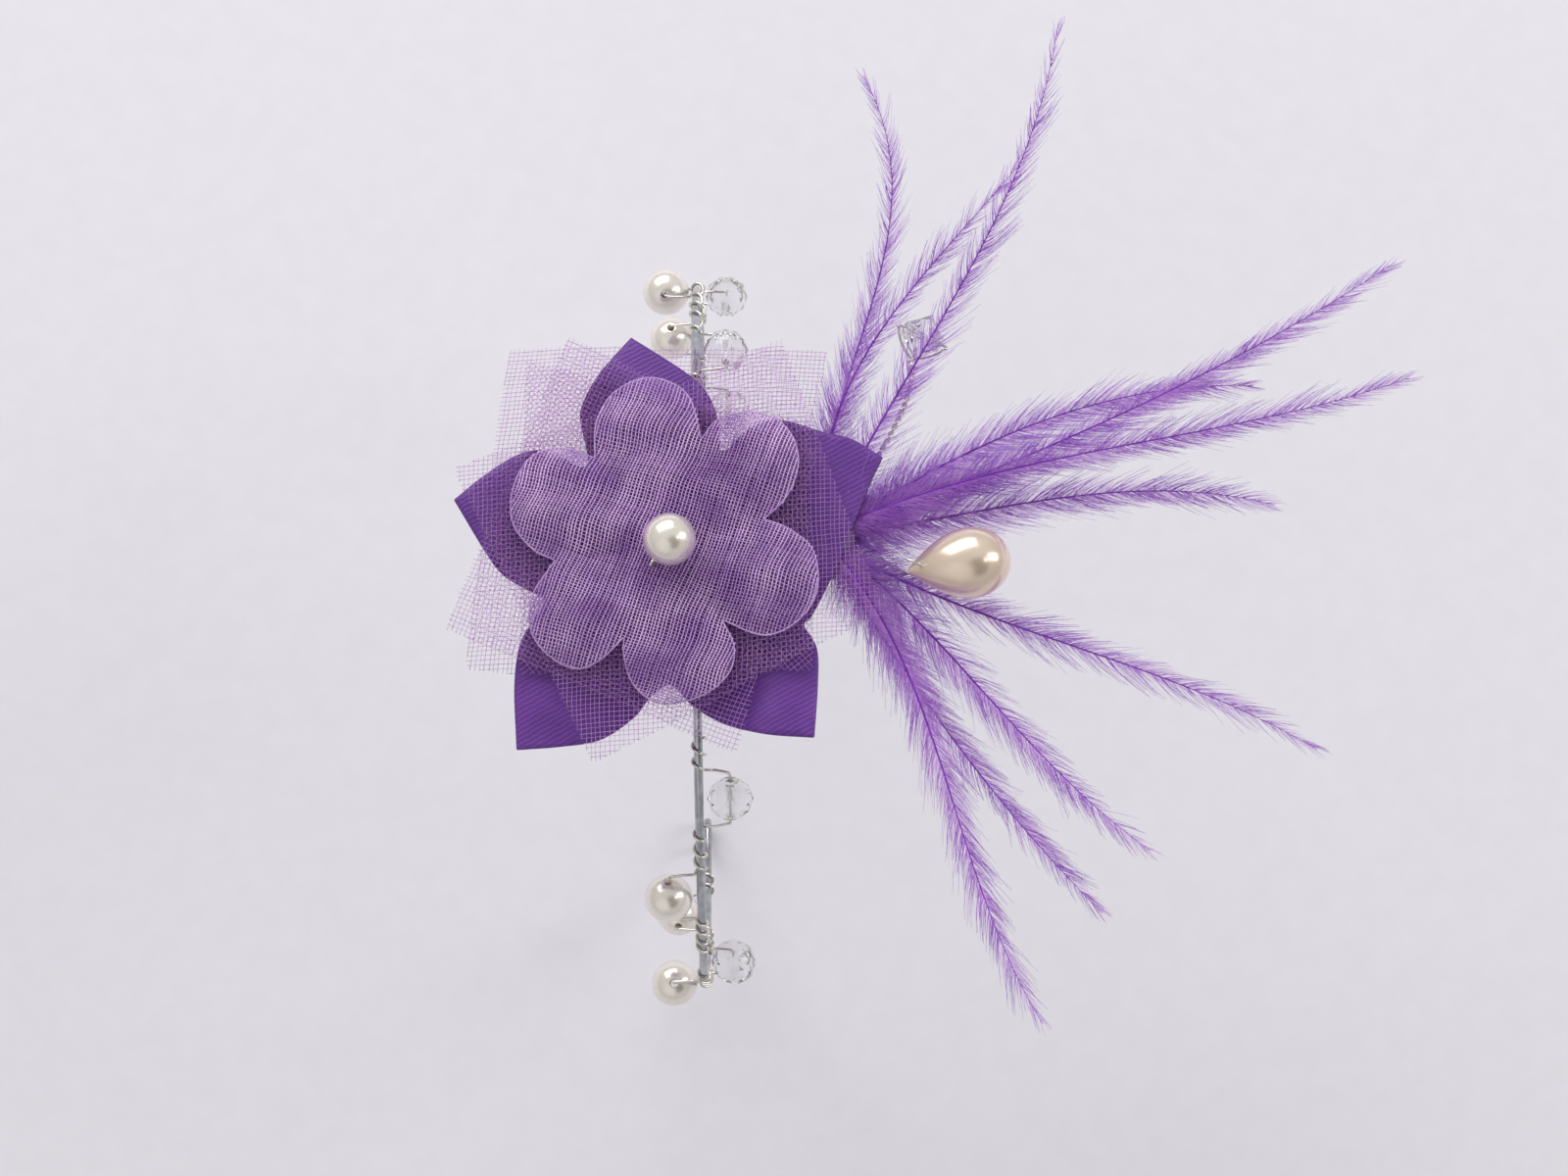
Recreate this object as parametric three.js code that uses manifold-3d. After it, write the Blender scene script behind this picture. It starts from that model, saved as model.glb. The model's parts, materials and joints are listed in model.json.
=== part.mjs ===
// A flower bracelet: a springy wire cuff wound with fine wire that carries pearls and cut crystals,
// with a sheer flower, a satin flower and tulle on top, and a spray of feathers, a drop pearl and a
// crystal on a stem at its side. Millimetres. The cuff lies in the YZ plane round the origin, the
// wrist passes along X, and the flower sits on top, facing +Z.
import * as THREE from 'three';
import { mergeVertices } from 'three/addons/utils/BufferGeometryUtils.js';
import Module from 'manifold-3d';

const wasm = await Module();
wasm.setup();

// Clearances shared by all pieces
const restGap = 0.3;
const runningGap = 0.3;
const cutOverrun = 2;

// Cuff wire
const cuffRadius = 33.5;
const cuffWire = 0.8;
const endLoopRadius = 1.3;
const endLoopTurn = 290;

// Angles round the cuff in degrees: its opening, and from the top of the cuff down each arm to the
// first bead, from there to the second bead, and from bead to bead after that
const cuffOpening = 51.3;
const frontFirstBead = 36.8;
const backFirstBead = 39.2;
const backSecondStep = 26.7;
const beadStep = 19.3;
const beadsPerArm = 6;

// Fine winding wire and its turns
const fineWire = 0.28;
const turnsBetweenBeads = 3.5;
const anchorTurns = 2;
const turnPitch = 1.7;
const holeMouth = 0.45;
const leadRun = 0.45;

// Beads
const pearlDiameter = 4.5;
const crystalDiameter = 4.1;
const centrePearlDiameter = 4.6;
const stemCrystalDiameter = 4.4;

// Flower on top of the cuff, from the bottom up
const flowerOffset = 2.1;
const tulleThickness = 0.25;
const padThickness = 1;
const satinThickness = 0.35;
const organzaThickness = 0.35;
const padRadius = 8;
const padSprayRadius = 3.6;
const tulleSide = 27.5;
const tulleDroop = 2.6;
const satinRadius = 20;
const satinDroop = 1.2;
const organzaRadius = 13.9;
const lobeRadius = 4.5;
const embossHeight = 1.1;

// Spray at the flower's side
const spraySide = 1.2;
const glueRadius = 3;
const featherLength = 56.4;
const featherThickness = 0.4;
const featherHalfWidth = 1.5;
const quillHalfWidth = 0.25;
const quillBare = 4;
const vaneFull = 14;
const featherFan = 2;
const liftStart = 2.4;

// Drop pearl and its hook
const dropLength = 9;
const dropDiameter = 6.3;
const dropTipReach = 8.15;
const dropHoleInset = 1.2;
const hookRise = 1.2;
const hookReturn = 1.3;
const hookBend = 0.5;

// Crystal on its twisted stem
const stemTwistPitch = 2;
const stemStrand = 0.14;
const crystalReach = 20.5;
const crystalSink = 1.8;

// Tessellation
const wireSides = 5;
const turnSteps = 8;
const cuffSides = 8;
const cuffSteps = 50;
const endLoopSteps = 10;
const beadSegments = 14;
const beadRows = 8;
const crystalSegments = 8;
const needleSides = 8;
const featherSteps = 13;
const clothCell = 2.4;
const embossCell = 1.6;

// Satin outline, clockwise from the upper petal's tip: bearing in degrees and share of satinRadius.
// Each stretch between two tips is one smooth curve.
const satinOutlineShares = [
  [[99.8, 1], [85, 0.82], [77, 0.735], [70, 0.62], [63, 0.5], [57, 0.635], [49, 0.74], [37, 0.835],
    [30.5, 0.92], [22.7, 1]],
  [[22.7, 1], [15.3, 0.88], [4.5, 0.78], [-10.7, 0.71], [-26.8, 0.68], [-31.5, 0.67], [-35.9, 0.77],
    [-44, 0.87], [-54.1, 1.035]],
  [[-54.1, 1.035], [-63.5, 0.915], [-73.3, 0.79], [-82.7, 0.675], [-90.5, 0.58], [-98.3, 0.64],
    [-103, 0.74], [-111, 0.87], [-120.2, 0.97], [-128.4, 1.08]],
  [[-128.4, 1.08], [-140.1, 0.885], [-149.3, 0.76], [-154.5, 0.66], [-160, 0.585], [-166, 0.64],
    [-173, 0.73], [-180.7, 0.8], [-195.3, 0.98]],
  [[164.7, 0.98], [155.2, 0.885], [145.2, 0.8], [139.1, 0.71], [135.3, 0.56], [130, 0.56],
    [122.9, 0.725], [118, 0.795], [110.3, 0.88], [99.8, 1]],
];

// Organza outline, clockwise from the notch between the two upper lobes: bearing in degrees and share
// of organzaRadius. Each stretch between two notches is one smooth curve.
const organzaOutlineShares = [
  [[74, 0.715], [69, 0.87], [57, 0.98], [44, 1.015], [32, 0.94], [21, 0.775], [13, 0.595]],
  [[13, 0.595], [5, 0.74], [-5, 0.885], [-20, 0.955], [-34, 0.925], [-46, 0.82], [-56, 0.565]],
  [[-56, 0.565], [-59, 0.755], [-67, 0.885], [-80, 0.955], [-94, 0.98], [-105, 0.89], [-113, 0.74],
    [-117, 0.635]],
  [[-117, 0.635], [-121.5, 0.82], [-127.5, 0.95], [-138, 1.005], [-149.5, 1], [-161, 0.9], [-174, 0.715]],
  [[-174, 0.715], [-180, 0.85], [-190, 0.99], [-202, 1.05], [-214, 1.045], [-223, 0.945], [-231, 0.74]],
  [[129, 0.74], [119.5, 0.925], [109.5, 1.055], [99, 1.1], [90.5, 1.07], [82.5, 0.965], [74, 0.715]],
];

// Middles of the domes pressed into the organza, one to a lobe: bearing and share of organzaRadius
const domeShares = [[98, 0.73], [46, 0.68], [-22, 0.62], [-87, 0.66], [-142, 0.68], [156, 0.72]];

// Corners of the squares of tulle, cut by hand: bearing and share of half a square's diagonal
const tulleBackShares = [[125.7, 1.27], [47.7, 1.03], [-57.5, 0.82], [-153.2, 1.04]];
const tulleInnerShares = [[125.8, 1.11], [50.9, 1.11], [-42.5, 0.84], [-141, 0.86]];
const tulleMiddleShares = [[114.4, 1.1], [23.2, 0.92], [-72.8, 0.96], [-161.6, 1.05]];
const tulleOuterShares = [[158, 1.04], [61.5, 1.05], [-19.2, 0.99], [-110.1, 1.01]];

// The spray's root, under the satin petals, as a share of satinRadius from the flower's middle
const sprayShare = 0.65;

// Line of the wire through the centre pearl, seen from above
const pearlWireBearing = 53;

// Feathers: bearing of the tip from the spray's centre in degrees, length as a share of featherLength,
// the sideways pull of its curve near the base and near the tip as shares of its own length,
// and the layer it lies in
const featherShares = [
  { bearing: 84, length: 0.766, near: 0.045, far: -0.206, layer: 0 },
  { bearing: 61.7, length: 0.672, near: 0.203, far: 0.063, layer: 1 },
  { bearing: 64.6, length: 0.897, near: -0.002, far: -0.099, layer: 2 },
  { bearing: 25.3, length: 1, near: -0.034, far: -0.048, layer: 1 },
  { bearing: 19.6, length: 0.723, near: 0.076, far: 0.127, layer: 0 },
  { bearing: 14, length: 0.934, near: 0.068, far: -0.025, layer: 2 },
  { bearing: 1.9, length: 0.716, near: 0.022, far: 0.135, layer: 0 },
  { bearing: -23.9, length: 0.824, near: -0.056, far: 0.043, layer: 0 },
  { bearing: -45.3, length: 0.693, near: 0.046, far: -0.051, layer: 1 },
  { bearing: -54.3, length: 0.715, near: -0.04, far: -0.052, layer: 0 },
  { bearing: -67.4, length: 0.816, near: 0.111, far: -0.041, layer: 2 },
];
const featherLayers = 3;
const dropBearing = -28.5;
const dropAxisBearing = 6.9;
const crystalBearing = 63.1;
const stemRootBearing = 52;

// Heights of the flower's layers, each resting on the one below
const wrapRadius = cuffWire / 2 + fineWire / 2 + runningGap;
const tulleBackBase = cuffRadius + wrapRadius + fineWire / 2 + restGap;
const padBase = tulleBackBase + tulleThickness + restGap;
const satinBase = padBase + padThickness + restGap;
const tulleInnerBase = satinBase + satinThickness + restGap;
const tulleMiddleBase = tulleInnerBase + tulleThickness + restGap;
const tulleOuterBase = tulleMiddleBase + tulleThickness + restGap;
const organzaBase = tulleOuterBase + tulleThickness + restGap;
const pearlCentreHeight = organzaBase + organzaThickness + restGap + centrePearlDiameter / 2;
const featherPitch = featherThickness + restGap;
const featherBase = satinBase;
const satinLift = featherLayers * featherPitch;
const sprayReach = sprayShare * satinRadius;
const liftEnd = sprayReach - glueRadius - restGap;
const beadHoleRadius = fineWire / 2 + runningGap;
const legReach = centrePearlDiameter / 2 + runningGap + fineWire / 2;
const tulleReach = tulleSide * Math.SQRT1_2;

const flowerCentre = new THREE.Vector3(-flowerOffset, 0, 0);
const sprayCentre = new THREE.Vector3(-flowerOffset + sprayReach, spraySide, 0);

const radians = THREE.MathUtils.degToRad;

function bearingPoint(centre, bearing, reach, height) {
  const angle = radians(bearing);
  return new THREE.Vector3(centre.x + reach * Math.cos(angle), centre.y + reach * Math.sin(angle), height);
}

// Solid geometry from points and triangles, with its faces turned outwards
function solid(points, triangles) {
  let volume = 0;
  for (const [a, b, c] of triangles) {
    volume += points[a].dot(new THREE.Vector3().crossVectors(points[b], points[c]));
  }
  const outward = volume > 0 ? triangles : triangles.map(([a, b, c]) => [a, c, b]);
  const geometry = new THREE.BufferGeometry();
  const numbers = points.flatMap((point) => point.toArray());
  geometry.setAttribute('position', new THREE.Float32BufferAttribute(numbers, 3));
  geometry.setIndex(outward.flat());
  return geometry;
}

// Skin over rings of points with as many points each: closed round the rings, and capped at both
// ends unless the rings themselves close
function loft(rings, closed = false) {
  const sides = rings[0].length;
  const points = rings.flat();
  const triangles = [];
  const spans = closed ? rings.length : rings.length - 1;
  for (let i = 0; i < spans; i += 1) {
    const here = i * sides;
    const next = ((i + 1) % rings.length) * sides;
    for (let j = 0; j < sides; j += 1) {
      const k = (j + 1) % sides;
      triangles.push([here + j, here + k, next + k], [here + j, next + k, next + j]);
    }
  }
  if (!closed) {
    const last = (rings.length - 1) * sides;
    for (let j = 1; j < sides - 1; j += 1) {
      triangles.push([0, j + 1, j], [last, last + j, last + j + 1]);
    }
  }
  return solid(points, triangles);
}

// Directions along a run of points, and a side direction carried along it without twisting
function carriedFrames(points, closed) {
  const count = points.length;
  const along = points.map((point, i) => {
    const before = closed ? points[(i + count - 1) % count] : points[Math.max(i - 1, 0)];
    const after = closed ? points[(i + 1) % count] : points[Math.min(i + 1, count - 1)];
    const into = point.clone().sub(before).normalize();
    const out = after.clone().sub(point).normalize();
    return into.add(out).normalize();
  });
  const smallest = Math.abs(along[0].x) < 0.9 ? new THREE.Vector3(1, 0, 0) : new THREE.Vector3(0, 1, 0);
  let side = smallest.sub(along[0].clone().multiplyScalar(smallest.dot(along[0]))).normalize();
  return along.map((direction) => {
    side = side.clone().sub(direction.clone().multiplyScalar(side.dot(direction))).normalize();
    return { side, up: new THREE.Vector3().crossVectors(direction, side) };
  });
}

// Round wire along a run of points
function wire(points, radius, sides, closed = false) {
  const frames = carriedFrames(points, closed);
  const rings = points.map((point, i) => Array.from({ length: sides }, (_, j) => {
    const angle = (2 * Math.PI * j) / sides;
    return point.clone()
      .addScaledVector(frames[i].side, radius * Math.cos(angle))
      .addScaledVector(frames[i].up, radius * Math.sin(angle));
  }));
  return loft(rings, closed);
}

// Cutting and joining
function toManifold(geometry) {
  const plain = geometry.clone();
  plain.deleteAttribute('normal');
  plain.deleteAttribute('uv');
  const merged = mergeVertices(plain);
  return new wasm.Manifold(new wasm.Mesh({
    numProp: 3,
    vertProperties: new Float32Array(merged.attributes.position.array),
    triVerts: new Uint32Array(merged.index.array),
  }));
}

function fromManifold(manifold) {
  const mesh = manifold.getMesh();
  const geometry = new THREE.BufferGeometry();
  geometry.setAttribute('position', new THREE.BufferAttribute(mesh.vertProperties, mesh.numProp));
  geometry.setIndex(new THREE.BufferAttribute(mesh.triVerts, 1));
  return geometry;
}

function cutBy(geometry, cutters) {
  const whole = toManifold(geometry);
  return fromManifold(cutters.reduce((left, cutter) => left.subtract(toManifold(cutter)), whole));
}

// Upright prism of an outline, from one height to another
function prism(outline, low, high) {
  const upright = { depth: high - low, bevelEnabled: false };
  return new THREE.ExtrudeGeometry(new THREE.Shape(outline), upright).translate(0, 0, low);
}

function circleOutline(centre, radius, sides) {
  return Array.from({ length: sides }, (_, i) => {
    const angle = (2 * Math.PI * i) / sides;
    return new THREE.Vector2(centre.x + radius * Math.cos(angle), centre.y + radius * Math.sin(angle));
  });
}

// The two needle holes that the centre pearl's wire makes in every layer of the flower
const legs = [pearlWireBearing, pearlWireBearing + 180].map((bearing) => (
  bearingPoint(flowerCentre, bearing, legReach, 0)));

function needleHoles(low, high) {
  return legs.map((leg) => prism(circleOutline(leg, beadHoleRadius, needleSides), low, high));
}

// A layer of cloth: a thin slab over a square grid centred on the flower, whose height follows a
// surface, cut to its outline and pierced by the needle. Layers on the same grid stay parallel.
function cloth(outline, heightAt, thickness, cell) {
  const farthest = Math.max(...outline.map((p) => Math.max(Math.abs(p.x - flowerCentre.x), Math.abs(p.y))));
  const half = Math.ceil(farthest / cell + 0.1);
  const cells = 2 * half;
  const row = cells + 1;
  const layer = row * row;
  const points = [];
  const triangles = [];
  for (const rise of [0, thickness]) {
    for (let j = -half; j <= half; j += 1) {
      for (let i = -half; i <= half; i += 1) {
        const x = flowerCentre.x + i * cell;
        const y = flowerCentre.y + j * cell;
        points.push(new THREE.Vector3(x, y, heightAt(x, y) + rise));
      }
    }
  }
  for (let j = 0; j < cells; j += 1) {
    for (let i = 0; i < cells; i += 1) {
      const a = j * row + i;
      const b = a + 1;
      const c = a + row;
      const d = c + 1;
      triangles.push([a, c, d], [a, d, b]);
      triangles.push([layer + a, layer + b, layer + d], [layer + a, layer + d, layer + c]);
    }
  }
  for (let i = 0; i < cells; i += 1) {
    const top = cells * row;
    const ends = [[i, i + 1], [top + i + 1, top + i]];
    const sides = [[(i + 1) * row, i * row], [i * row + cells, (i + 1) * row + cells]];
    for (const [p, q] of [...ends, ...sides]) {
      triangles.push([p, q, layer + q], [p, layer + q, layer + p]);
    }
  }
  const heights = points.map((point) => point.z);
  const low = Math.min(...heights) - cutOverrun;
  const high = Math.max(...heights) + cutOverrun;
  const sheet = toManifold(solid(points, triangles)).intersect(toManifold(prism(outline, low, high)));
  return cutBy(fromManifold(sheet), needleHoles(low, high));
}

// Surfaces of the flower. The layers above the feathers rise over them on the spray's side and droop
// a little everywhere else.
function risen(x) {
  return THREE.MathUtils.smoothstep(x - flowerCentre.x, liftStart, liftEnd);
}

function flowerSurface(base, droop) {
  return (x, y) => {
    const reach = Math.hypot(x - flowerCentre.x, y - flowerCentre.y) / satinRadius;
    return base + satinLift * risen(x) - droop * reach * reach * (1 - risen(x));
  };
}

function droopingSurface(base) {
  return (x, y) => {
    const reach = Math.hypot(x - flowerCentre.x, y - flowerCentre.y) / tulleReach;
    return base - tulleDroop * reach * reach;
  };
}

function embossedSurface() {
  const under = flowerSurface(organzaBase, satinDroop);
  const middles = domeShares.map((row) => outlinePoint(row, organzaRadius));
  return (x, y) => {
    const swell = middles.map((middle) => {
      const share = Math.hypot(x - middle.x, y - middle.y) / lobeRadius;
      return Math.max(0, 1 - share * share);
    });
    return under(x, y) + embossHeight * Math.max(...swell);
  };
}

// Outlines, from bearings round the flower's middle and shares of a reach from it
function outlinePoint([bearing, share], reach) {
  const point = bearingPoint(flowerCentre, bearing, share * reach, 0);
  return new THREE.Vector2(point.x, point.y);
}

function curvedOutline(stretches, reach) {
  return stretches.flatMap((stretch) => {
    const points = stretch.map((row) => outlinePoint(row, reach));
    return new THREE.SplineCurve(points).getPoints(2 * points.length).slice(0, -1);
  });
}

function squareOutline(corners) {
  return corners.map((row) => outlinePoint(row, tulleReach));
}

// Felt pad: a disc under the flower drawn out to a smaller round under the feathers' roots
function padOutline() {
  const run = sprayCentre.clone().sub(flowerCentre);
  const bearing = Math.atan2(run.y, run.x);
  const lean = Math.acos((padRadius - padSprayRadius) / Math.hypot(run.x, run.y));
  const outline = new THREE.Path();
  const [left, right] = [bearing + lean, bearing - lean];
  outline.absarc(flowerCentre.x, flowerCentre.y, padRadius, left, right + 2 * Math.PI, false);
  outline.absarc(sprayCentre.x, sprayCentre.y, padSprayRadius, right, left, false);
  return outline.getPoints(10);
}

// Cuff: point at an arc length from the top towards the front (side -1 towards -Y) or back (side 1),
// moved sideways and outwards from the wire's centreline
function cuffPoint(side, arc, across, outwards) {
  const angle = arc / cuffRadius;
  const reach = cuffRadius + outwards;
  return new THREE.Vector3(across, side * reach * Math.sin(angle), reach * Math.cos(angle));
}

const cuffEnd = cuffRadius * radians(180 - cuffOpening / 2);

function cuff() {
  const endLoop = (side) => Array.from({ length: endLoopSteps }, (_, i) => {
    const turn = radians((endLoopTurn * (i + 1)) / endLoopSteps);
    const along = endLoopRadius * Math.sin(turn);
    const outwards = endLoopRadius * (1 - Math.cos(turn));
    return cuffPoint(side, cuffEnd + along, 0, outwards);
  });
  const arc = Array.from({ length: cuffSteps + 1 }, (_, i) => (
    cuffPoint(1, cuffEnd * ((2 * i) / cuffSteps - 1), 0, 0)));
  return wire([...endLoop(-1).reverse(), ...arc, ...endLoop(1)], cuffWire / 2, cuffSides);
}

// Where each bead of an arm sits, and what it is: crystals on the spray's side, pearls on the other
function armBeads(side) {
  const first = side < 0 ? frontFirstBead : backFirstBead;
  const second = side < 0 ? beadStep : backSecondStep;
  return Array.from({ length: beadsPerArm }, (_, i) => {
    const crystal = i % 2 === 0;
    const diameter = crystal ? crystalDiameter : pearlDiameter;
    return {
      name: `${side < 0 ? 'front' : 'back'}_${crystal ? 'crystal' : 'pearl'}_${Math.floor(i / 2) + 1}`,
      crystal,
      diameter,
      arc: cuffRadius * radians(i === 0 ? first : first + second + beadStep * (i - 1)),
      across: (crystal ? 1 : -1) * (cuffWire / 2 + runningGap + diameter / 2),
    };
  });
}

// Turns round the cuff wire from one arc length to another
function turnsRound(side, from, to, startAngle, turns) {
  const steps = Math.round(turns * turnSteps);
  return Array.from({ length: steps + 1 }, (_, i) => {
    const angle = radians(startAngle) + (side * 2 * Math.PI * turns * i) / steps;
    const arc = from + ((to - from) * i) / steps;
    return cuffPoint(side, arc, wrapRadius * Math.cos(angle), wrapRadius * Math.sin(angle));
  });
}

// Straight run through a bead's hole, square to the cuff's radius at the bead
function runThrough(side, bead) {
  const middle = cuffPoint(side, bead.arc, bead.across, 0);
  const along = cuffTangent(side, bead.arc);
  const half = bead.diameter / 2 + holeMouth;
  return [-1, 0, 1].map((end) => middle.clone().addScaledVector(along, end * half));
}

function cuffTangent(side, arc) {
  const angle = arc / cuffRadius;
  return new THREE.Vector3(0, side * Math.cos(angle), -Math.sin(angle));
}

// The fine wire of one arm: anchor turns under the flower, then by turns a bead and a winding
function armPath(side) {
  const points = [];
  let arc = 0;
  for (const bead of armBeads(side)) {
    const half = bead.diameter / 2 + holeMouth + leadRun;
    const startAngle = bead.crystal ? 180 : 0;
    const start = bead.arc - half;
    if (points.length === 0) {
      const anchor = start - anchorTurns * turnPitch;
      points.push(...turnsRound(side, anchor, start, bead.crystal ? 0 : 180, anchorTurns));
    } else {
      points.push(...turnsRound(side, arc, start, startAngle, turnsBetweenBeads));
    }
    points.push(...runThrough(side, bead));
    arc = bead.arc + half;
  }
  const lastOnCrystalSide = beadsPerArm % 2 === 1;
  const wireEnd = Math.min(arc + anchorTurns * turnPitch, cuffEnd);
  points.push(...turnsRound(side, arc, wireEnd, lastOnCrystalSide ? 0 : 180, anchorTurns));
  return points;
}

// Least gap between stretches of a wire that are more than half a turn apart along it
function leastGap(points, diameter, apart) {
  let least = Infinity;
  for (let i = 0; i < points.length; i += 1) {
    for (let j = i + apart; j < points.length; j += 1) {
      least = Math.min(least, points[i].distanceTo(points[j]) - diameter);
    }
  }
  return least;
}

// Bead about the Z axis, with its hole along it
function roundBead(diameter, segments, rows) {
  const reach = Math.acos(beadHoleRadius / (diameter / 2));
  const outer = Array.from({ length: rows + 1 }, (_, i) => {
    const angle = reach * ((2 * i) / rows - 1);
    return new THREE.Vector2((diameter / 2) * Math.cos(angle), (diameter / 2) * Math.sin(angle));
  });
  return latheSolid([...outer, outer[0]], segments);
}

// Cut crystal about the Z axis: flat facets between a narrow mouth, a shoulder and a girdle
function cutBead(diameter) {
  const girdleShares = [[0.46, -0.86], [0.82, -0.5], [1, 0], [0.82, 0.5], [0.46, 0.86]];
  const half = diameter / 2;
  const outer = girdleShares.map(([out, along]) => new THREE.Vector2(half * out, half * along));
  const mouth = outer.at(-1).y;
  const hole = [new THREE.Vector2(beadHoleRadius, mouth), new THREE.Vector2(beadHoleRadius, -mouth)];
  return latheSolid([...outer, ...hole, outer[0]], crystalSegments);
}

function latheSolid(profile, segments) {
  const turned = new THREE.LatheGeometry(profile, segments).rotateX(Math.PI / 2);
  turned.deleteAttribute('normal');
  turned.deleteAttribute('uv');
  const merged = mergeVertices(turned, fineWire / 1000);
  const points = Array.from({ length: merged.attributes.position.count }, (_, i) => (
    new THREE.Vector3().fromBufferAttribute(merged.attributes.position, i)));
  const triangles = [];
  for (let i = 0; i < merged.index.count; i += 3) {
    const corner = [0, 1, 2].map((k) => merged.index.getX(i + k));
    if (new Set(corner).size === 3) {
      triangles.push(corner);
    }
  }
  return solid(points, triangles);
}

// The wire that ties the flower on: turns round the cuff, up through every layer, through the centre
// pearl, down again and round the cuff on the other side
function tiePath() {
  const clearUnder = tulleBackBase - restGap;
  const turns = 2.5;
  const arms = legs.map((leg) => {
    const side = Math.sign(leg.y);
    const start = Math.abs(leg.y) + fineWire;
    const winding = turnsRound(side, start, start + turns * turnPitch, 180, side * turns);
    return [
      new THREE.Vector3(leg.x, leg.y, pearlCentreHeight),
      new THREE.Vector3(leg.x, leg.y, clearUnder),
      ...winding.slice(1),
    ];
  });
  const middle = flowerCentre.clone().setZ(pearlCentreHeight);
  return [...arms[0].reverse(), middle, ...arms[1]];
}

// Feather: a thin blade along a curve, a bare quill at its root and a vane that widens and tapers
function featherCurve(row) {
  const length = featherLength * row.length;
  const angle = radians(row.bearing);
  const height = featherBase + featherThickness / 2 + featherPitch * row.layer;
  const fan = featherFan * (row.layer - (featherLayers - 1) / 2);
  const place = (along, aside, rise) => new THREE.Vector3(
    sprayCentre.x + along * Math.cos(angle) - aside * Math.sin(angle),
    sprayCentre.y + along * Math.sin(angle) + aside * Math.cos(angle),
    height + rise,
  );
  return new THREE.CubicBezierCurve3(
    place(0, 0, 0),
    place(length / 3, length * row.near, 0),
    place((2 * length) / 3, length * row.far, fan / 3),
    place(length, 0, fan),
  );
}

function feather(row) {
  const curve = featherCurve(row);
  const length = curve.getLength();
  const root = (glueRadius + restGap) / length;
  const rings = Array.from({ length: featherSteps + 1 }, (_, i) => {
    const share = root + (1 - root) * (i / featherSteps);
    const centre = curve.getPointAt(share);
    const along = curve.getTangentAt(share);
    const aside = new THREE.Vector3(-along.y, along.x, 0).normalize();
    const fullness = THREE.MathUtils.smoothstep(share * length, quillBare, vaneFull);
    const taper = Math.sqrt(Math.max(0, 1 - share ** 6));
    const vane = (featherHalfWidth - quillHalfWidth) * fullness * taper;
    const half = quillHalfWidth * (1 - 0.6 * share) + vane;
    const rise = new THREE.Vector3(0, 0, (featherThickness / 2) * (1 - 0.6 * share));
    return [
      centre.clone().addScaledVector(aside, half),
      centre.clone().add(rise),
      centre.clone().addScaledVector(aside, -half),
      centre.clone().sub(rise),
    ];
  });
  return loft(rings);
}

// Glue spot that holds the feathers' roots and the two stems
function glueSpot() {
  const height = satinLift - restGap;
  const dome = new THREE.Path();
  dome.moveTo(0, 0);
  dome.lineTo(glueRadius, 0);
  dome.lineTo(glueRadius, height / 2);
  dome.quadraticCurveTo(glueRadius, height, 0, height);
  return latheSolid(dome.getPoints(4), beadSegments).translate(sprayCentre.x, sprayCentre.y, featherBase);
}

// Drop pearl, its narrow end towards the flower, pierced from top to bottom near that end
const stemHeight = featherBase + featherPitch + featherThickness / 2;
const dropHeight = featherBase + featherThickness + restGap + dropDiameter / 2;
const dropTip = bearingPoint(sprayCentre, dropBearing, dropTipReach, dropHeight);
const dropHole = bearingPoint(dropTip, dropAxisBearing, dropHoleInset, dropHeight);

function dropPearl() {
  const widestShare = 0.62;
  const half = dropDiameter / 2;
  const steps = 12;
  const profile = Array.from({ length: steps + 1 }, (_, i) => {
    const share = i / steps;
    const swell = share < widestShare
      ? Math.sin((Math.PI / 2) * (share / widestShare)) ** 0.95
      : Math.sqrt(Math.max(0, 1 - ((share - widestShare) / (1 - widestShare)) ** 2));
    const along = share;
    return new THREE.Vector2(i === 0 || i === steps ? 0 : half * Math.min(1, swell), dropLength * along);
  });
  const body = latheSolid(profile, beadSegments)
    .rotateY(Math.PI / 2)
    .rotateZ(radians(dropAxisBearing))
    .translate(dropTip.x, dropTip.y, dropTip.z);
  const mouth = circleOutline(dropHole, beadHoleRadius, needleSides);
  return cutBy(body, [prism(mouth, dropHeight - half, dropHeight + half)]);
}

function dropStem() {
  const root = bearingPoint(sprayCentre, dropBearing + 5, glueRadius + restGap, stemHeight);
  const toHole = dropHole.clone().sub(sprayCentre);
  const bearing = THREE.MathUtils.radToDeg(Math.atan2(toHole.y, toHole.x));
  const reach = Math.hypot(toHole.x, toHole.y);
  const at = (back, height) => bearingPoint(sprayCentre, bearing, reach - back, height);
  const crown = dropHeight + hookRise + hookBend;
  return wire([
    root,
    at(reach / 3, stemHeight),
    at(hookBend * 2, stemHeight),
    at(hookBend / 2, stemHeight + hookBend / 2),
    at(0, stemHeight + hookBend * 2),
    at(0, dropHeight),
    at(0, crown - hookBend),
    at(hookBend / 2, crown),
    at(hookReturn, crown),
  ], fineWire / 2, wireSides);
}

// Crystal on its stem: the wire goes through the bead's hole and both ends come down twisted together
const crystalCentre = bearingPoint(sprayCentre, crystalBearing, crystalReach, stemHeight - crystalSink);
const stemCrystalRing = stemCrystalDiameter / 2 + runningGap + fineWire / 2;

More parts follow.
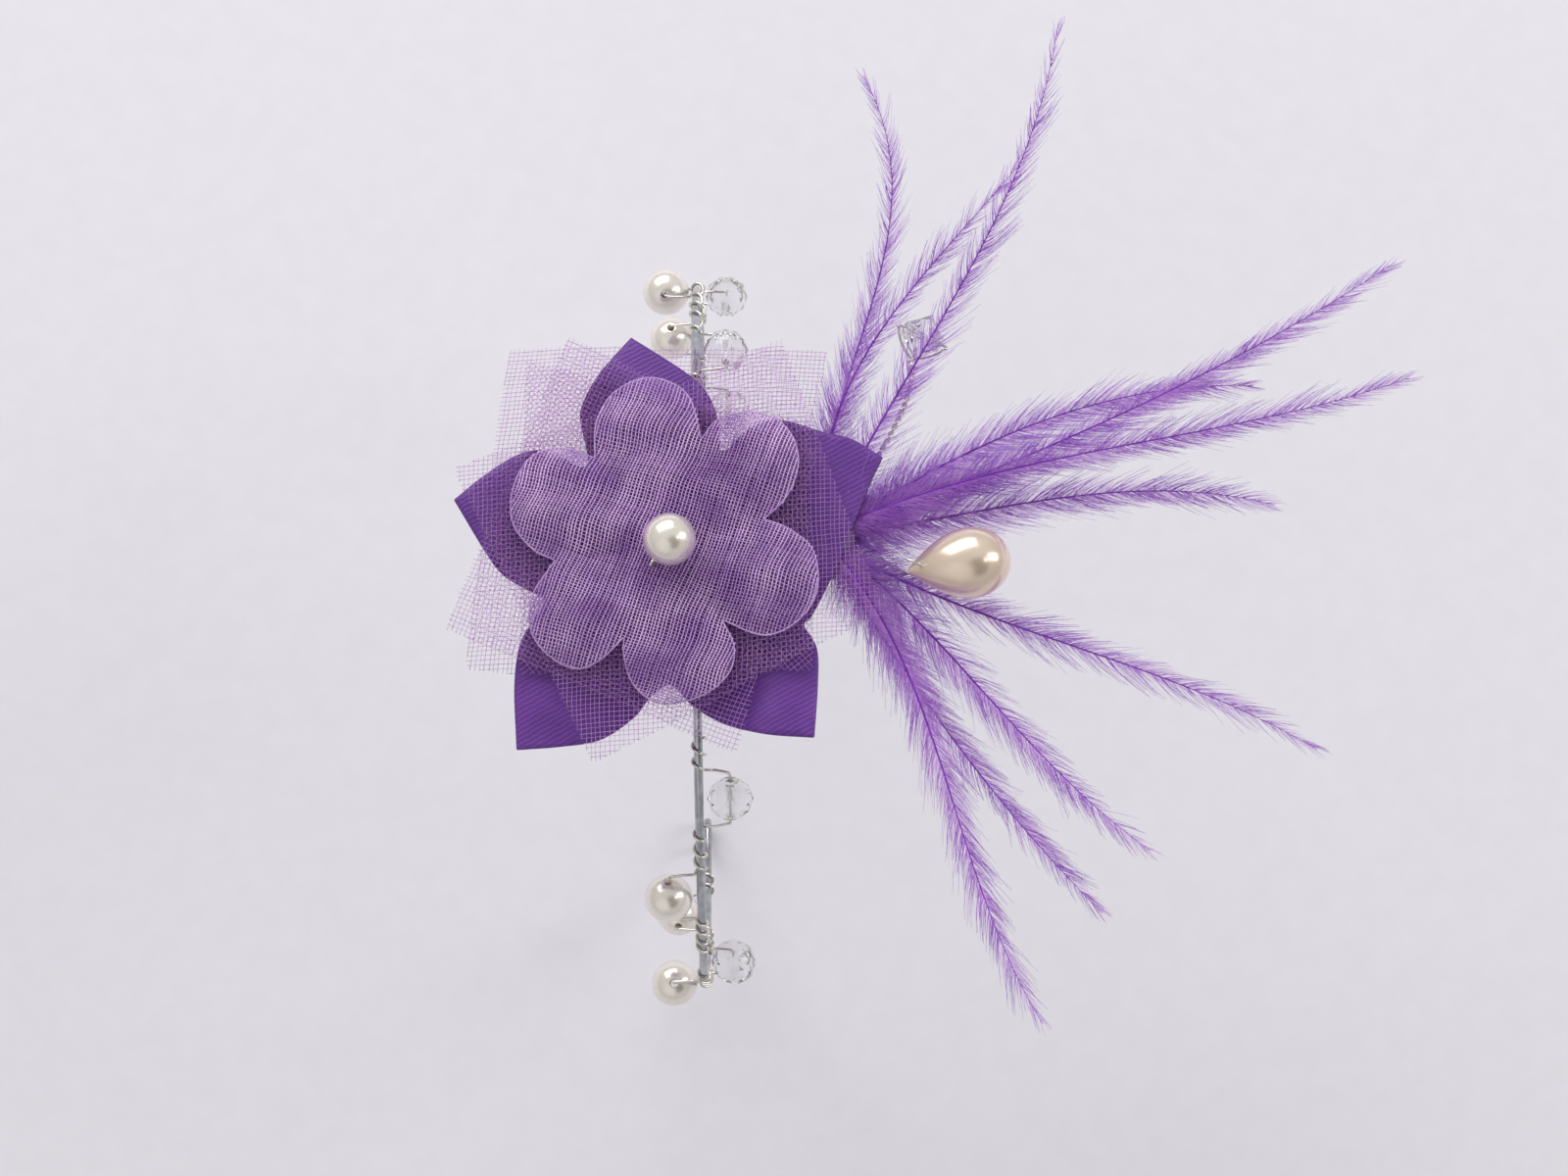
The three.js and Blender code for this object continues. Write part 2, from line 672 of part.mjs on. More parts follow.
function crystalStem() {
  const out = new THREE.Vector3(Math.cos(radians(crystalBearing)), Math.sin(radians(crystalBearing)), 0);
  const across = new THREE.Vector3(-out.y, out.x, 0);
  const steps = 12;
  const arc = Array.from({ length: steps + 1 }, (_, i) => {
    const angle = (Math.PI * i) / steps;
    return crystalCentre.clone()
      .addScaledVector(across, stemCrystalRing * Math.cos(angle))
      .addScaledVector(out, -stemCrystalRing * Math.sin(angle));
  });
  const bail = wire([crystalCentre.clone(), ...arc], fineWire / 2, wireSides, true);
  const foot = crystalCentre.clone().addScaledVector(out, -stemCrystalRing);
  const root = bearingPoint(sprayCentre, stemRootBearing, glueRadius + restGap, stemHeight);
  const knee = bearingPoint(sprayCentre, stemRootBearing, crystalReach / 3, stemHeight);
  const line = new THREE.QuadraticBezierCurve3(root, knee, foot);
  const twistSteps = Math.round((turnSteps * line.getLength()) / stemTwistPitch / 2);
  const flat = new THREE.Vector3(0, 0, 1);
  const rings = Array.from({ length: twistSteps + 1 }, (_, i) => {
    const share = i / twistSteps;
    const twist = (2 * Math.PI * share * line.getLength()) / stemTwistPitch;
    const along = line.getTangentAt(share);
    const side = new THREE.Vector3().crossVectors(flat, along).normalize();
    const up = new THREE.Vector3().crossVectors(along, side);
    return Array.from({ length: 8 }, (_, j) => {
      const angle = (2 * Math.PI * j) / 8;
      const reach = stemStrand * (j % 4 === 0 ? 2 : j % 4 === 2 ? 0.75 : 1.55);
      return line.getPointAt(share)
        .addScaledVector(side, reach * Math.cos(angle + twist))
        .addScaledVector(up, reach * Math.sin(angle + twist));
    });
  });
  return fromManifold(toManifold(bail).add(toManifold(loft(rings))));
}

// Finishes
function finish(color, roughness, metalness) {
  return new THREE.MeshStandardMaterial({ color, roughness, metalness });
}

const silver = finish(0xb9bbc0, 0.22, 1);
const paleGold = finish(0xcfc6ae, 0.25, 1);
const pearl = finish(0xeee6d8, 0.25, 0);
const champagnePearl = finish(0xdcc8b4, 0.22, 0);
const crystal = finish(0xe6eef2, 0.05, 0);
const satin = finish(0x5a3494, 0.38, 0);
const tulle = finish(0xc8afdc, 0.7, 0);
const organza = finish(0x8c69af, 0.5, 0);
const plume = finish(0x8a5cc8, 0.8, 0);
const felt = finish(0x5d4a86, 0.95, 0);
const glue = finish(0xe4dfc8, 0.35, 0);

const bracelet = new THREE.Group();

function add(name, geometry, material) {
  const mesh = new THREE.Mesh(geometry, material);
  mesh.name = name;
  bracelet.add(mesh);
  return mesh;
}

function reportGap(name, path) {
  console.log(`${name}: least gap to itself ${leastGap(path, fineWire, turnSteps - 2).toFixed(2)} mm`);
}

// Bead placed with its hole along the cuff's tangent
function addArmBead(side, bead) {
  const geometry = bead.crystal ? cutBead(bead.diameter) : roundBead(bead.diameter, beadSegments, beadRows);
  const mesh = add(bead.name, geometry, bead.crystal ? crystal : pearl);
  mesh.position.copy(cuffPoint(side, bead.arc, bead.across, 0));
  mesh.quaternion.setFromUnitVectors(new THREE.Vector3(0, 0, 1), cuffTangent(side, bead.arc));
}

add('cuff_wire', cuff(), silver);
for (const side of [-1, 1]) {
  const path = armPath(side);
  const name = `${side < 0 ? 'front' : 'back'}_wrap_wire`;
  add(name, wire(path, fineWire / 2, wireSides), paleGold);
  reportGap(name, path);
  for (const bead of armBeads(side)) {
    addArmBead(side, bead);
  }
}

// A square of tulle on the flower's surface above the satin
function frontTulle(corners, base) {
  return cloth(squareOutline(corners), flowerSurface(base, satinDroop), tulleThickness, clothCell);
}

add('tulle_back', cloth(
  squareOutline(tulleBackShares), droopingSurface(tulleBackBase), tulleThickness, 2 * clothCell), tulle);
add('backing_pad', cutBy(
  prism(padOutline(), padBase, padBase + padThickness),
  needleHoles(padBase - cutOverrun, satinBase)), felt);
add('satin_flower', cloth(
  curvedOutline(satinOutlineShares, satinRadius), flowerSurface(satinBase, satinDroop), satinThickness,
  clothCell), satin);
add('tulle_front_inner', frontTulle(tulleInnerShares, tulleInnerBase), tulle);
add('tulle_front_middle', frontTulle(tulleMiddleShares, tulleMiddleBase), tulle);
add('tulle_front_outer', frontTulle(tulleOuterShares, tulleOuterBase), tulle);
add('organza_flower', cloth(
  curvedOutline(organzaOutlineShares, organzaRadius), embossedSurface(), organzaThickness,
  embossCell), organza);

const centrePearl = add('centre_pearl', roundBead(centrePearlDiameter, beadSegments, beadRows), pearl);
centrePearl.position.set(flowerCentre.x, flowerCentre.y, pearlCentreHeight);
centrePearl.quaternion.setFromUnitVectors(
  new THREE.Vector3(0, 0, 1), legs[0].clone().sub(flowerCentre).setZ(0).normalize());
add('flower_tie_wire', wire(tiePath(), fineWire / 2, wireSides), paleGold);
reportGap('flower_tie_wire', tiePath());

add('glue_spot', glueSpot(), glue);
featherShares.forEach((row, i) => {
  add(`feather_${String(i + 1).padStart(2, '0')}`, feather(row), plume);
});

add('drop_stem_wire', dropStem(), paleGold);
add('drop_pearl', dropPearl(), champagnePearl);
add('crystal_stem_wire', crystalStem(), paleGold);
const stemCrystal = add('stem_crystal', cutBead(stemCrystalDiameter), crystal);
stemCrystal.position.copy(crystalCentre);
stemCrystal.quaternion.setFromUnitVectors(
  new THREE.Vector3(0, 0, 1), bearingPoint(new THREE.Vector3(), crystalBearing + 90, 1, 0));

export default bracelet;
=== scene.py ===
import json
import math

import bpy
import numpy as np
from mathutils import Matrix, Vector
from mathutils.geometry import delaunay_2d_cdt


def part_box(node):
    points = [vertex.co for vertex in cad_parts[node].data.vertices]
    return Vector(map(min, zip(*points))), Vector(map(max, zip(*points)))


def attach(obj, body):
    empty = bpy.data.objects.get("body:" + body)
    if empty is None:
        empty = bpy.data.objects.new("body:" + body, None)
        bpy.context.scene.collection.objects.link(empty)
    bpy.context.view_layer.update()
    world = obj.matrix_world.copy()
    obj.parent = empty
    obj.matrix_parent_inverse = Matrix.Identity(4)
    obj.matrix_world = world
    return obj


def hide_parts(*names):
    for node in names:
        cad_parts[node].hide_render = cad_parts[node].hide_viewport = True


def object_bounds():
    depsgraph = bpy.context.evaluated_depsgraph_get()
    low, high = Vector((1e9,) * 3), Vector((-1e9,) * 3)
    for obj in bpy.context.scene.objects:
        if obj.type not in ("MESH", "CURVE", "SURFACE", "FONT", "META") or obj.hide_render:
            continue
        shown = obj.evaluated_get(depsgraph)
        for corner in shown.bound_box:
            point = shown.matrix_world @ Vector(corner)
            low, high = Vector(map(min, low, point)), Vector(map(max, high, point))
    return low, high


# A flower bracelet. Sizes are in millimetres and become metres where a mesh is made.
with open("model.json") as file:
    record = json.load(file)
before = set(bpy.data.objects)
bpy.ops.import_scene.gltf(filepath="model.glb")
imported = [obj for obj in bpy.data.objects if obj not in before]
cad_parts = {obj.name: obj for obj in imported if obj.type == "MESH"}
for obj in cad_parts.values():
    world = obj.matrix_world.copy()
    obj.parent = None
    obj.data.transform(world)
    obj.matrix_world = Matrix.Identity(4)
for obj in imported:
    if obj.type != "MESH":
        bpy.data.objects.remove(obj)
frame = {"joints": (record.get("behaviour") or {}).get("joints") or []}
cad_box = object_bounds()
MM = 0.001
joints = {joint["child"]: joint for joint in frame["joints"]}


def corners(node):
    """Lowest and highest corner of a node, in millimetres."""
    return tuple(np.array(corner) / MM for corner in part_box(node))


def middle(node):
    return sum(corners(node)) / 2


def joint_place(node):
    return np.array(joints[node]["pos_m"]) / MM


def half(node, axis):
    """Half the reach of a node along an axis."""
    low, high = corners(node)
    return (high[axis] - low[axis]) / 2


def radius_of(node):
    """Radius of a bead, measured square to its hole."""
    return half(node, 2 if joints[node]["axis"][2] == 0 else 0)


# Driving sizes
CUFF_WIRE = 0.8
FINE_WIRE = 0.26
REST_GAP = 0.3
CUFF_RADIUS = corners("cuff_wire")[1][2] - CUFF_WIRE / 2
CUFF_OPENING = 51.3
END_LOOP_RADIUS = 1.3
END_LOOP_TURN = 290
TURNS_BETWEEN_BEADS = 3.5
ANCHOR_TURNS = 2
TURN_PITCH = 1.5
HOLE_MOUTH = 0.35
LEAD_RUN = 0.45
LEAD_BEND = 0.35
LEAD_OUT = (0.55, 0.9)
TURN_WANDER = 0.05
TURN_SLACK = 0.07
WIRE_CLEAR = 0.01
TIE_FOOT_SHARE = 0.85
TIE_TURNS = 3
BEAD_HOLE = 0.36
HOLE_LIP = 0.06
ROUND_CUT_SIDES = 10
BICONE_CUT_SIDES = 8

TULLE_THREAD = 0.023
TULLE_THREAD_SHAPE = 3.3
TULLE_PITCH = 0.405
TULLE_THICKNESS = 0.25
TULLE_SIDE = 27.5
TULLE_DROOP = 2.6
TULLE_WAVE = 0.06
TULLE_WAVE_LENGTH = 6
SATIN_LAYER = 0.35
SATIN_THICKNESS = 0.3
SATIN_RADIUS = 20
SATIN_DROOP = 1.2
CREASE_HEIGHT = 0.12
CREASE_LENGTH = 9
CREASE_START = 6
CREASE_FULL = 16
DIMPLE_HEIGHT = 0.03
DIMPLE_LENGTH = 2.2
ORGANZA_THICKNESS = 0.35
ORGANZA_RADIUS = 13.9
WEAVE_PITCHES = (0.31, 0.26)
WEAVE_THREADS = (0.062, 0.042)
WEAVE_SHAPES = (1.7, 1.2)
WEAVE_BEARINGS = (69, -20)
HEM_THREAD = 0.07
LOBE_RADIUS = 4.5
RIDGE_SHARE = 0.4
EMBOSS_HEIGHT = 1.1
THREAD_SPREAD = 0.2
FRAY_OUT = 0.12
FRAY_IN = 0.02
FELT_FUZZ = 0.04
FELT_FUZZ_LENGTH = 1.3

FEATHER_LENGTH = 56.4
FEATHER_THICKNESS = 0.4
FEATHER_LAYERS = 3
FEATHER_FAN = 2
BARB_LENGTH = 4.4
FRINGE_RADIUS = 0.027
WEB_RADIUS = 0.014
FRINGE_PER_MM = 5.5
WEB_PER_MM = 30
ROOT_WEB_SHARE = 0.35
ROOT_DOWN_REACH = 9
BARB_OPENING = 46
BARB_CLOSING = 21
DOWN_OPENING = 18
DOWN_CURL = 42
DOWN_TILT = 8
TUFT_SPACING = 0.55
BARB_SINK = 1.2
BARB_OVERRUN = 0.9
QUILL_RADIUS = 0.12
QUILL_TAPER = 0.85
ROOT_SINK = 0.9
GLUE_RADIUS = 3
LIFT_START = 2.4

DROP_BEARING = 6.9
DROP_LENGTH = 9
DROP_HOLE_INSET = 1.2
HOOK_RISE = 1.2
WIDEST_SHARE = 0.62
TIP_SHARE = 0.02
STEM_SINK = 0.6
LOOP_REACH = 0.25
STEM_ROOT_BEARING = 52
STEM_KNEES = [(52, 0.45), (55, 0.87)]
STEM_TWIST_PITCH = 1.5

# Steps, sides and cells of the meshes
CURVE_STEPS = 12
WIRE_STEPS = 8
LEAD_STEPS = 6
STEM_STEPS = 160
FEATHER_STEPS = 400
QUILL_STEPS = 90
CUFF_STEPS = 420
LOOP_STEPS = 40
TURN_STEPS = 22
CUFF_SIDES = 20
WIRE_SIDES = 8
PEARL_ROWS = 48
PEARL_SEGMENTS = 64
DROP_SEGMENTS = 72
GLUE_RINGS = 16
GLUE_SEGMENTS = 40
SATIN_CELL = 0.45
SATIN_EDGE = 0.05
FELT_CELL = 0.5
FELT_EDGE = 0.2
HEM_STEP = 0.15

# Seeds of the random draws
FRONT_WINDING_SEED = 21
BACK_WINDING_SEED = 22
TIE_SEED = 31
TULLE_SEEDS = {"back": 41, "inner": 47, "middle": 50, "outer": 53}
ORGANZA_SEED = 61
CREASE_SEED = 5
DIMPLE_SEED = 6
FELT_SEED = 8
FEATHER_SEED = 100

# Places that the frame gives
centre_x, centre_y, pearl_height = middle("centre_pearl")
spray_x, spray_y, glue_height = middle("glue_spot")
centre = (centre_x, centre_y)
spray = (spray_x, spray_y)
pad_low, pad_high = (corner[2] for corner in corners("backing_pad"))
satin_base = pad_high + REST_GAP
tulle_back_base = pad_low - REST_GAP - TULLE_THICKNESS
tulle_inner_base = satin_base + SATIN_LAYER + REST_GAP
tulle_middle_base = tulle_inner_base + TULLE_THICKNESS + REST_GAP
tulle_outer_base = tulle_middle_base + TULLE_THICKNESS + REST_GAP
organza_base = tulle_outer_base + TULLE_THICKNESS + REST_GAP
tulle_reach = TULLE_SIDE * math.sqrt(0.5)
feather_pitch = FEATHER_THICKNESS + REST_GAP
satin_lift = FEATHER_LAYERS * feather_pitch
lift_end = spray_x - centre_x - GLUE_RADIUS - REST_GAP

# Satin outline, clockwise from the upper petal's tip: bearing in degrees and share of SATIN_RADIUS.
# Each stretch between two tips is one smooth curve.
SATIN_OUTLINE_SHARES = [
    [(99.8, 1), (85, 0.82), (77, 0.735), (70, 0.62), (63, 0.5), (57, 0.635), (49, 0.74), (37, 0.835),
     (30.5, 0.92), (22.7, 1)],
    [(22.7, 1), (15.3, 0.88), (4.5, 0.78), (-10.7, 0.71), (-26.8, 0.68), (-31.5, 0.67), (-35.9, 0.77),
     (-44, 0.87), (-54.1, 1.035)],
    [(-54.1, 1.035), (-63.5, 0.915), (-73.3, 0.79), (-82.7, 0.675), (-90.5, 0.58), (-98.3, 0.64),
     (-103, 0.74), (-111, 0.87), (-120.2, 0.97), (-128.4, 1.08)],
    [(-128.4, 1.08), (-140.1, 0.885), (-149.3, 0.76), (-154.5, 0.66), (-160, 0.585), (-166, 0.64),
     (-173, 0.73), (-180.7, 0.8), (-195.3, 0.98)],
    [(164.7, 0.98), (155.2, 0.885), (145.2, 0.8), (139.1, 0.71), (135.3, 0.56), (130, 0.56),
     (122.9, 0.725), (118, 0.795), (110.3, 0.88), (99.8, 1)],
]

# Organza outline, clockwise from the notch between the two upper lobes: bearing in degrees and share
# of ORGANZA_RADIUS. Each stretch between two notches is one smooth curve.
ORGANZA_OUTLINE_SHARES = [
    [(74, 0.715), (69, 0.87), (57, 0.98), (44, 1.015), (32, 0.94), (21, 0.775), (13, 0.595)],
    [(13, 0.595), (5, 0.74), (-5, 0.885), (-20, 0.955), (-34, 0.925), (-46, 0.82), (-56, 0.565)],
    [(-56, 0.565), (-59, 0.755), (-67, 0.885), (-80, 0.955), (-94, 0.98), (-105, 0.89), (-113, 0.74),
     (-117, 0.635)],
    [(-117, 0.635), (-121.5, 0.82), (-127.5, 0.95), (-138, 1.005), (-149.5, 1), (-161, 0.9),
     (-174, 0.715)],
    [(-174, 0.715), (-180, 0.85), (-190, 0.99), (-202, 1.05), (-214, 1.045), (-223, 0.945),
     (-231, 0.74)],
    [(129, 0.74), (119.5, 0.925), (109.5, 1.055), (99, 1.1), (90.5, 1.07), (82.5, 0.965), (74, 0.715)],
]

# Middles of the domes pressed into the organza, one to a lobe: bearing and share of ORGANZA_RADIUS
DOME_SHARES = [(98, 0.73), (46, 0.68), (-22, 0.62), (-87, 0.66), (-142, 0.68), (156, 0.72)]

# Squares of tulle, cut by hand: bearing and share of half a square's diagonal for each corner, and
# the bearings of the two sets of threads
TULLE_SQUARES = {
    "back": ([(125.7, 1.27), (54.6, 1.23), (-57.5, 0.82), (-153.2, 1.04)], (0, 82)),
    "inner": ([(125.8, 1.11), (41.3, 0.835), (-42.5, 0.84), (-141, 0.86)], (38, -52)),
    "middle": ([(114.4, 1.1), (32, 0.77), (-72.8, 0.96), (-161.6, 1.05)], (-24, 66)),
    "outer": ([(158, 1.04), (61.5, 1.05), (-19.2, 0.99), (-110.1, 1.01)], (4, 90)),
}
PEARL_WIRE_BEARING = 53

# Tie wire over the pearl: distance out and height from the pearl's middle as shares of its radius,
# hugging the pearl on one side and standing off it in a small bow on the other
HUGGING_SHARES = [(0.98, 0), (1.07, -0.08), (1.07, -0.22), (1.02, -0.5), (0.9, -0.8)]
BOWED_SHARES = [(0.98, 0), (1.16, -0.02), (1.24, -0.2), (1.16, -0.5), (0.95, -0.85)]

# Crystals: distance from the axis and place along it of each ring of corners, as shares of the radius.
# The number of rings is odd.
ROUND_CUT_SHARES = [(0.4, -0.86), (0.82, -0.52), (1, 0), (0.82, 0.52), (0.4, 0.86)]
BICONE_CUT_SHARES = [(0.3, -0.86), (0.62, -0.45), (1, 0), (0.62, 0.45), (0.3, 0.86)]

# Feathers: bearing of the tip, length share, sideways pulls of the curve near base and tip, layer,
# length of the barbs and share of short web between them on the left and on the right
FEATHER_SHARES = [
    (84, 0.766, 0.045, -0.206, 0, (0.9, 0.3), (0.95, 0.5)),
    (61.7, 0.672, 0.203, 0.063, 1, (0.95, 0.25), (0.8, 0.35)),
    (64.6, 0.897, -0.002, -0.099, 2, (0.8, 0.2), (1.1, 0.4)),
    (25.3, 1, -0.034, -0.048, 1, (0.85, 0.6), (1.2, 1.2)),
    (19.6, 0.723, 0.076, 0.127, 0, (1.1, 0.8), (1.2, 1.3)),
    (14, 0.934, 0.068, -0.025, 2, (1.2, 0.6), (0.98, 1.1)),
    (4.1, 0.708, 0.01, 0.109, 0, (1.25, 0.8), (1.2, 1.2)),
    (-23.9, 0.824, -0.056, 0.043, 0, (1.0, 0.8), (1.05, 0.4)),
    (-45.3, 0.693, 0.046, -0.051, 1, (0.95, 0.4), (1.2, 1.1)),
    (-54.3, 0.715, -0.04, -0.052, 0, (1.1, 1.2), (0.85, 0.5)),
    (-67.4, 0.816, 0.111, -0.041, 2, (1.1, 0.9), (1.2, 0.8)),
]


# Small mathematics

def smoothstep(value, low, high):
    share = np.clip((np.asarray(value, float) - low) / (high - low), 0, 1)
    return share * share * (3 - 2 * share)


def unit(vectors):
    vectors = np.asarray(vectors, float)
    return vectors / np.maximum(np.linalg.norm(vectors, axis=-1, keepdims=True), 1e-12)


def on_bearing(centre, bearing, reach):
    angle = np.radians(bearing)
    return np.stack([centre[0] + reach * np.cos(angle), centre[1] + reach * np.sin(angle)], axis=-1)


def ripple(x, y, wavelength, seed, waves=5):
    """Smooth irregular height between about -1 and 1, from a few crossing waves."""
    draw = np.random.default_rng(seed)
    total = 0
    for _ in range(waves):
        heading, phase = draw.uniform(0, 2 * math.pi, 2)
        length = wavelength * draw.uniform(0.7, 1.5)
        along = x * math.cos(heading) + y * math.sin(heading)
        total = total + np.sin(2 * math.pi * along / length + phase)
    return total / waves


def spline(points, steps):
    """Smooth curve through points, with so many steps between each two."""
    points = np.asarray(points, float)
    ends = np.vstack([2 * points[0] - points[1], points, 2 * points[-1] - points[-2]])
    t = np.linspace(0, 1, steps, endpoint=False)[:, None]
    out = []
    for a, b, c, d in zip(ends, ends[1:], ends[2:], ends[3:]):
        square, cube = 2 * a - 5 * b + 4 * c - d, 3 * b - a - 3 * c + d
        out.append(0.5 * (2 * b + (c - a) * t + square * t**2 + cube * t**3))
    return np.vstack(out + [points[-1:]])


def bezier(a, b, c, d, samples):
    t = np.linspace(0, 1, samples)[:, None]
    return (1 - t) ** 3 * a + 3 * (1 - t) ** 2 * t * b + 3 * (1 - t) * t**2 * c + t**3 * d


def run_along(points):
    """Distance along a line at each of its points."""
    return np.concatenate([[0], np.cumsum(np.linalg.norm(np.diff(points, axis=0), axis=1))])


def around(count, turned=0.0):
    """Even angles round a circle, turned by a share of their spacing."""
    return 2 * math.pi * (np.arange(count) + turned) / count


# Meshes

def mesh_object(name, points, faces, material, smooth=True):
    """Object from points in millimetres and a list of arrays of faces, one array for each size of face."""
    loops = np.concatenate([block.ravel() for block in faces]).astype(np.int32)
    sizes = np.concatenate([np.full(len(block), block.shape[1]) for block in faces])
    starts = np.concatenate([[0], np.cumsum(sizes)[:-1]]).astype(np.int32)
    mesh = bpy.data.meshes.new(name)
    mesh.vertices.add(len(points))
    mesh.vertices.foreach_set("co", (np.asarray(points, float) * MM).astype(np.float32).ravel())
    mesh.loops.add(len(loops))
    mesh.loops.foreach_set("vertex_index", loops)
    mesh.polygons.add(len(starts))
    mesh.polygons.foreach_set("loop_start", starts)
    mesh.polygons.foreach_set("use_smooth", np.full(len(starts), smooth))
    mesh.update(calc_edges=True)
    mesh.validate()
    mesh.materials.append(material)
    piece = bpy.data.objects.new(name, mesh)
    bpy.context.scene.collection.objects.link(piece)
    return piece


def joined(parts):
    """One set of points and faces from several."""
    points, faces, count = [], {}, 0
    for part_points, part_faces in parts:
        points.append(part_points)
        for block in part_faces:
            faces.setdefault(block.shape[1], []).append(block + count)
        count += len(part_points)
    return np.vstack(points), [np.vstack(blocks) for blocks in faces.values()]


def strips(here, over):
    """Faces between rings of points and the rings that come next."""
    return np.stack([here, np.roll(here, -1, -1), np.roll(over, -1, -1), over], axis=-1).reshape(-1, 4)


def capped(rings):
    """Closed skin over a stack of rings of points."""
    index = np.arange(rings.size // 3).reshape(rings.shape[:2])
    return rings.reshape(-1, 3), [strips(index[:-1], index[1:]), np.stack([index[0, ::-1], index[-1]])]


def level_ring(middle_x, middle_y, reach, angle, height):
    return np.column_stack([middle_x + reach * np.cos(angle), middle_y + reach * np.sin(angle),
                            np.full(len(angle), height)])


def tubes(paths, radii, sides, closed=False, tall=1):
    """Tubes along paths, an array of (tubes, steps, 3), with radii for each step, round or tall."""
    paths = np.asarray(paths, float)
    count, steps, _ = paths.shape
    radii = np.broadcast_to(radii, (count, steps))
    if closed:
        along = unit(np.roll(paths, -1, 1) - np.roll(paths, 1, 1))
    else:
        along = unit(np.gradient(paths, axis=1))
    carried = np.where(np.abs(along[:, 0, 2:3]) < 0.9, [[0.0, 0.0, 1.0]], [[1.0, 0.0, 0.0]])
    side = np.empty_like(paths)
    for i in range(steps):
        carried = unit(carried - along[:, i] * np.sum(carried * along[:, i], axis=1, keepdims=True))
        side[:, i] = carried
    up = np.cross(along, side)
    angle = around(sides)
    ring = side[:, :, None] * (tall * np.cos(angle))[:, None] + up[:, :, None] * np.sin(angle)[:, None]
    points = paths[:, :, None] + radii[:, :, None, None] * ring
    index = np.arange(count * steps * sides).reshape(count, steps, sides)
    if closed:
        return points.reshape(-1, 3), [strips(index, np.roll(index, -1, 1))]
    caps = np.concatenate([index[:, 0, ::-1], index[:, -1]])
    return points.reshape(-1, 3), [strips(index[:, :-1], index[:, 1:]), caps]


def lathed(profile, segments):
    """Closed profile of (distance from the axis, place along Z) turned about Z."""
    out, along = profile.T[:, :, None]
    angle = around(segments)
    points = np.stack([out * np.cos(angle), out * np.sin(angle), along + 0 * angle], axis=-1)
    index = np.arange(points.size // 3).reshape(points.shape[:2])
    return points.reshape(-1, 3), [strips(index, np.roll(index, -1, 0))]


def turned_to(points, direction, place):
    """Points about Z turned so that Z lies along a direction, and moved to a place."""
    turn = Vector((0, 0, 1)).rotation_difference(Vector(direction)).to_matrix()
    return np.asarray(points) @ np.array(turn).T + np.asarray(place)


def inside(outline, points):
    """Which points lie inside an outline."""
    x, y = points[:, 0], points[:, 1]
    within = np.zeros(len(points), bool)
    for (ax, ay), (bx, by) in zip(outline, np.roll(outline, -1, 0)):
        crosses = (ay > y) != (by > y)
        with np.errstate(divide="ignore", invalid="ignore"):
            within ^= crosses & (x < (bx - ax) * (y - ay) / (by - ay) + ax)
    return within


def inset(outline, amount):
    """Outline moved inwards by an amount, for an outline that runs anticlockwise."""
    ahead = unit(np.roll(outline, -1, 0) - outline)
    behind = unit(outline - np.roll(outline, 1, 0))
    along = unit(ahead + behind)
    return outline + amount * np.stack([-along[:, 1], along[:, 0]], axis=-1)


def evenly(outline, spacing):
    """Closed outline sampled again at even steps."""
    closed = np.vstack([outline, outline[:1]])
    run = run_along(closed)
    places = np.linspace(0, run[-1], max(8, int(run[-1] / spacing)), endpoint=False)
    return np.stack([np.interp(places, run, closed[:, axis]) for axis in (0, 1)], axis=-1)


def signed_area(outline):
    """Area within an outline, above zero where it runs anticlockwise."""
    x, y = outline[:, 0], outline[:, 1]
    return np.sum(x * np.roll(y, -1) - np.roll(x, -1) * y) / 2


def slab(outline, bottom, thickness, cell, edge):
    """Sheet cut to an outline, over a surface, with its cut edge rounded by a small amount."""
    outline = evenly(outline, cell / 2)
    if signed_area(outline) < 0:
        outline = outline[::-1]
    inner = inset(outline, edge)
    low, high = inner.min(0), inner.max(0)
    across, up = np.meshgrid(np.arange(low[0], high[0], cell), np.arange(low[1], high[1], cell))
    grid = np.column_stack([across.ravel(), up.ravel()])
    grid = grid[inside(inset(outline, edge + cell / 2), grid)]
    flat = np.vstack([inner, grid])
    count, rim = len(flat), np.arange(len(inner))
    edges = list(zip(rim.tolist(), np.roll(rim, -1).tolist()))
    points, _, triangles, *_ = delaunay_2d_cdt([Vector(p) for p in flat], edges, [], 1, 1e-6)
    if len(points) != count:
        raise ValueError("the outline crosses itself")
    triangles = np.array(triangles)
    under = np.column_stack([flat, bottom(*flat.T)])
    brink = np.column_stack([outline, bottom(*outline.T) + thickness / 2])
    sides = np.vstack([triangles[:, ::-1], triangles + count])
    walls = np.vstack([strips(rim, rim + 2 * count), strips(rim + 2 * count, rim + count)])
    return np.vstack([under, under + [0, 0, thickness], brink]), [sides, walls]


# Surfaces of the flower

def reach_from_centre(x, y):
    return np.hypot(x - centre_x, y - centre_y)


def risen(x):
    return smoothstep(x - centre_x, LIFT_START, lift_end)


def flower_surface(base, droop):
    def height(x, y):
        reach = reach_from_centre(x, y) / SATIN_RADIUS
        return base + satin_lift * risen(x) - droop * reach**2 * (1 - risen(x))
    return height


def drooping_surface(base):
    def height(x, y):
        return base - TULLE_DROOP * (reach_from_centre(x, y) / tulle_reach) ** 2
    return height


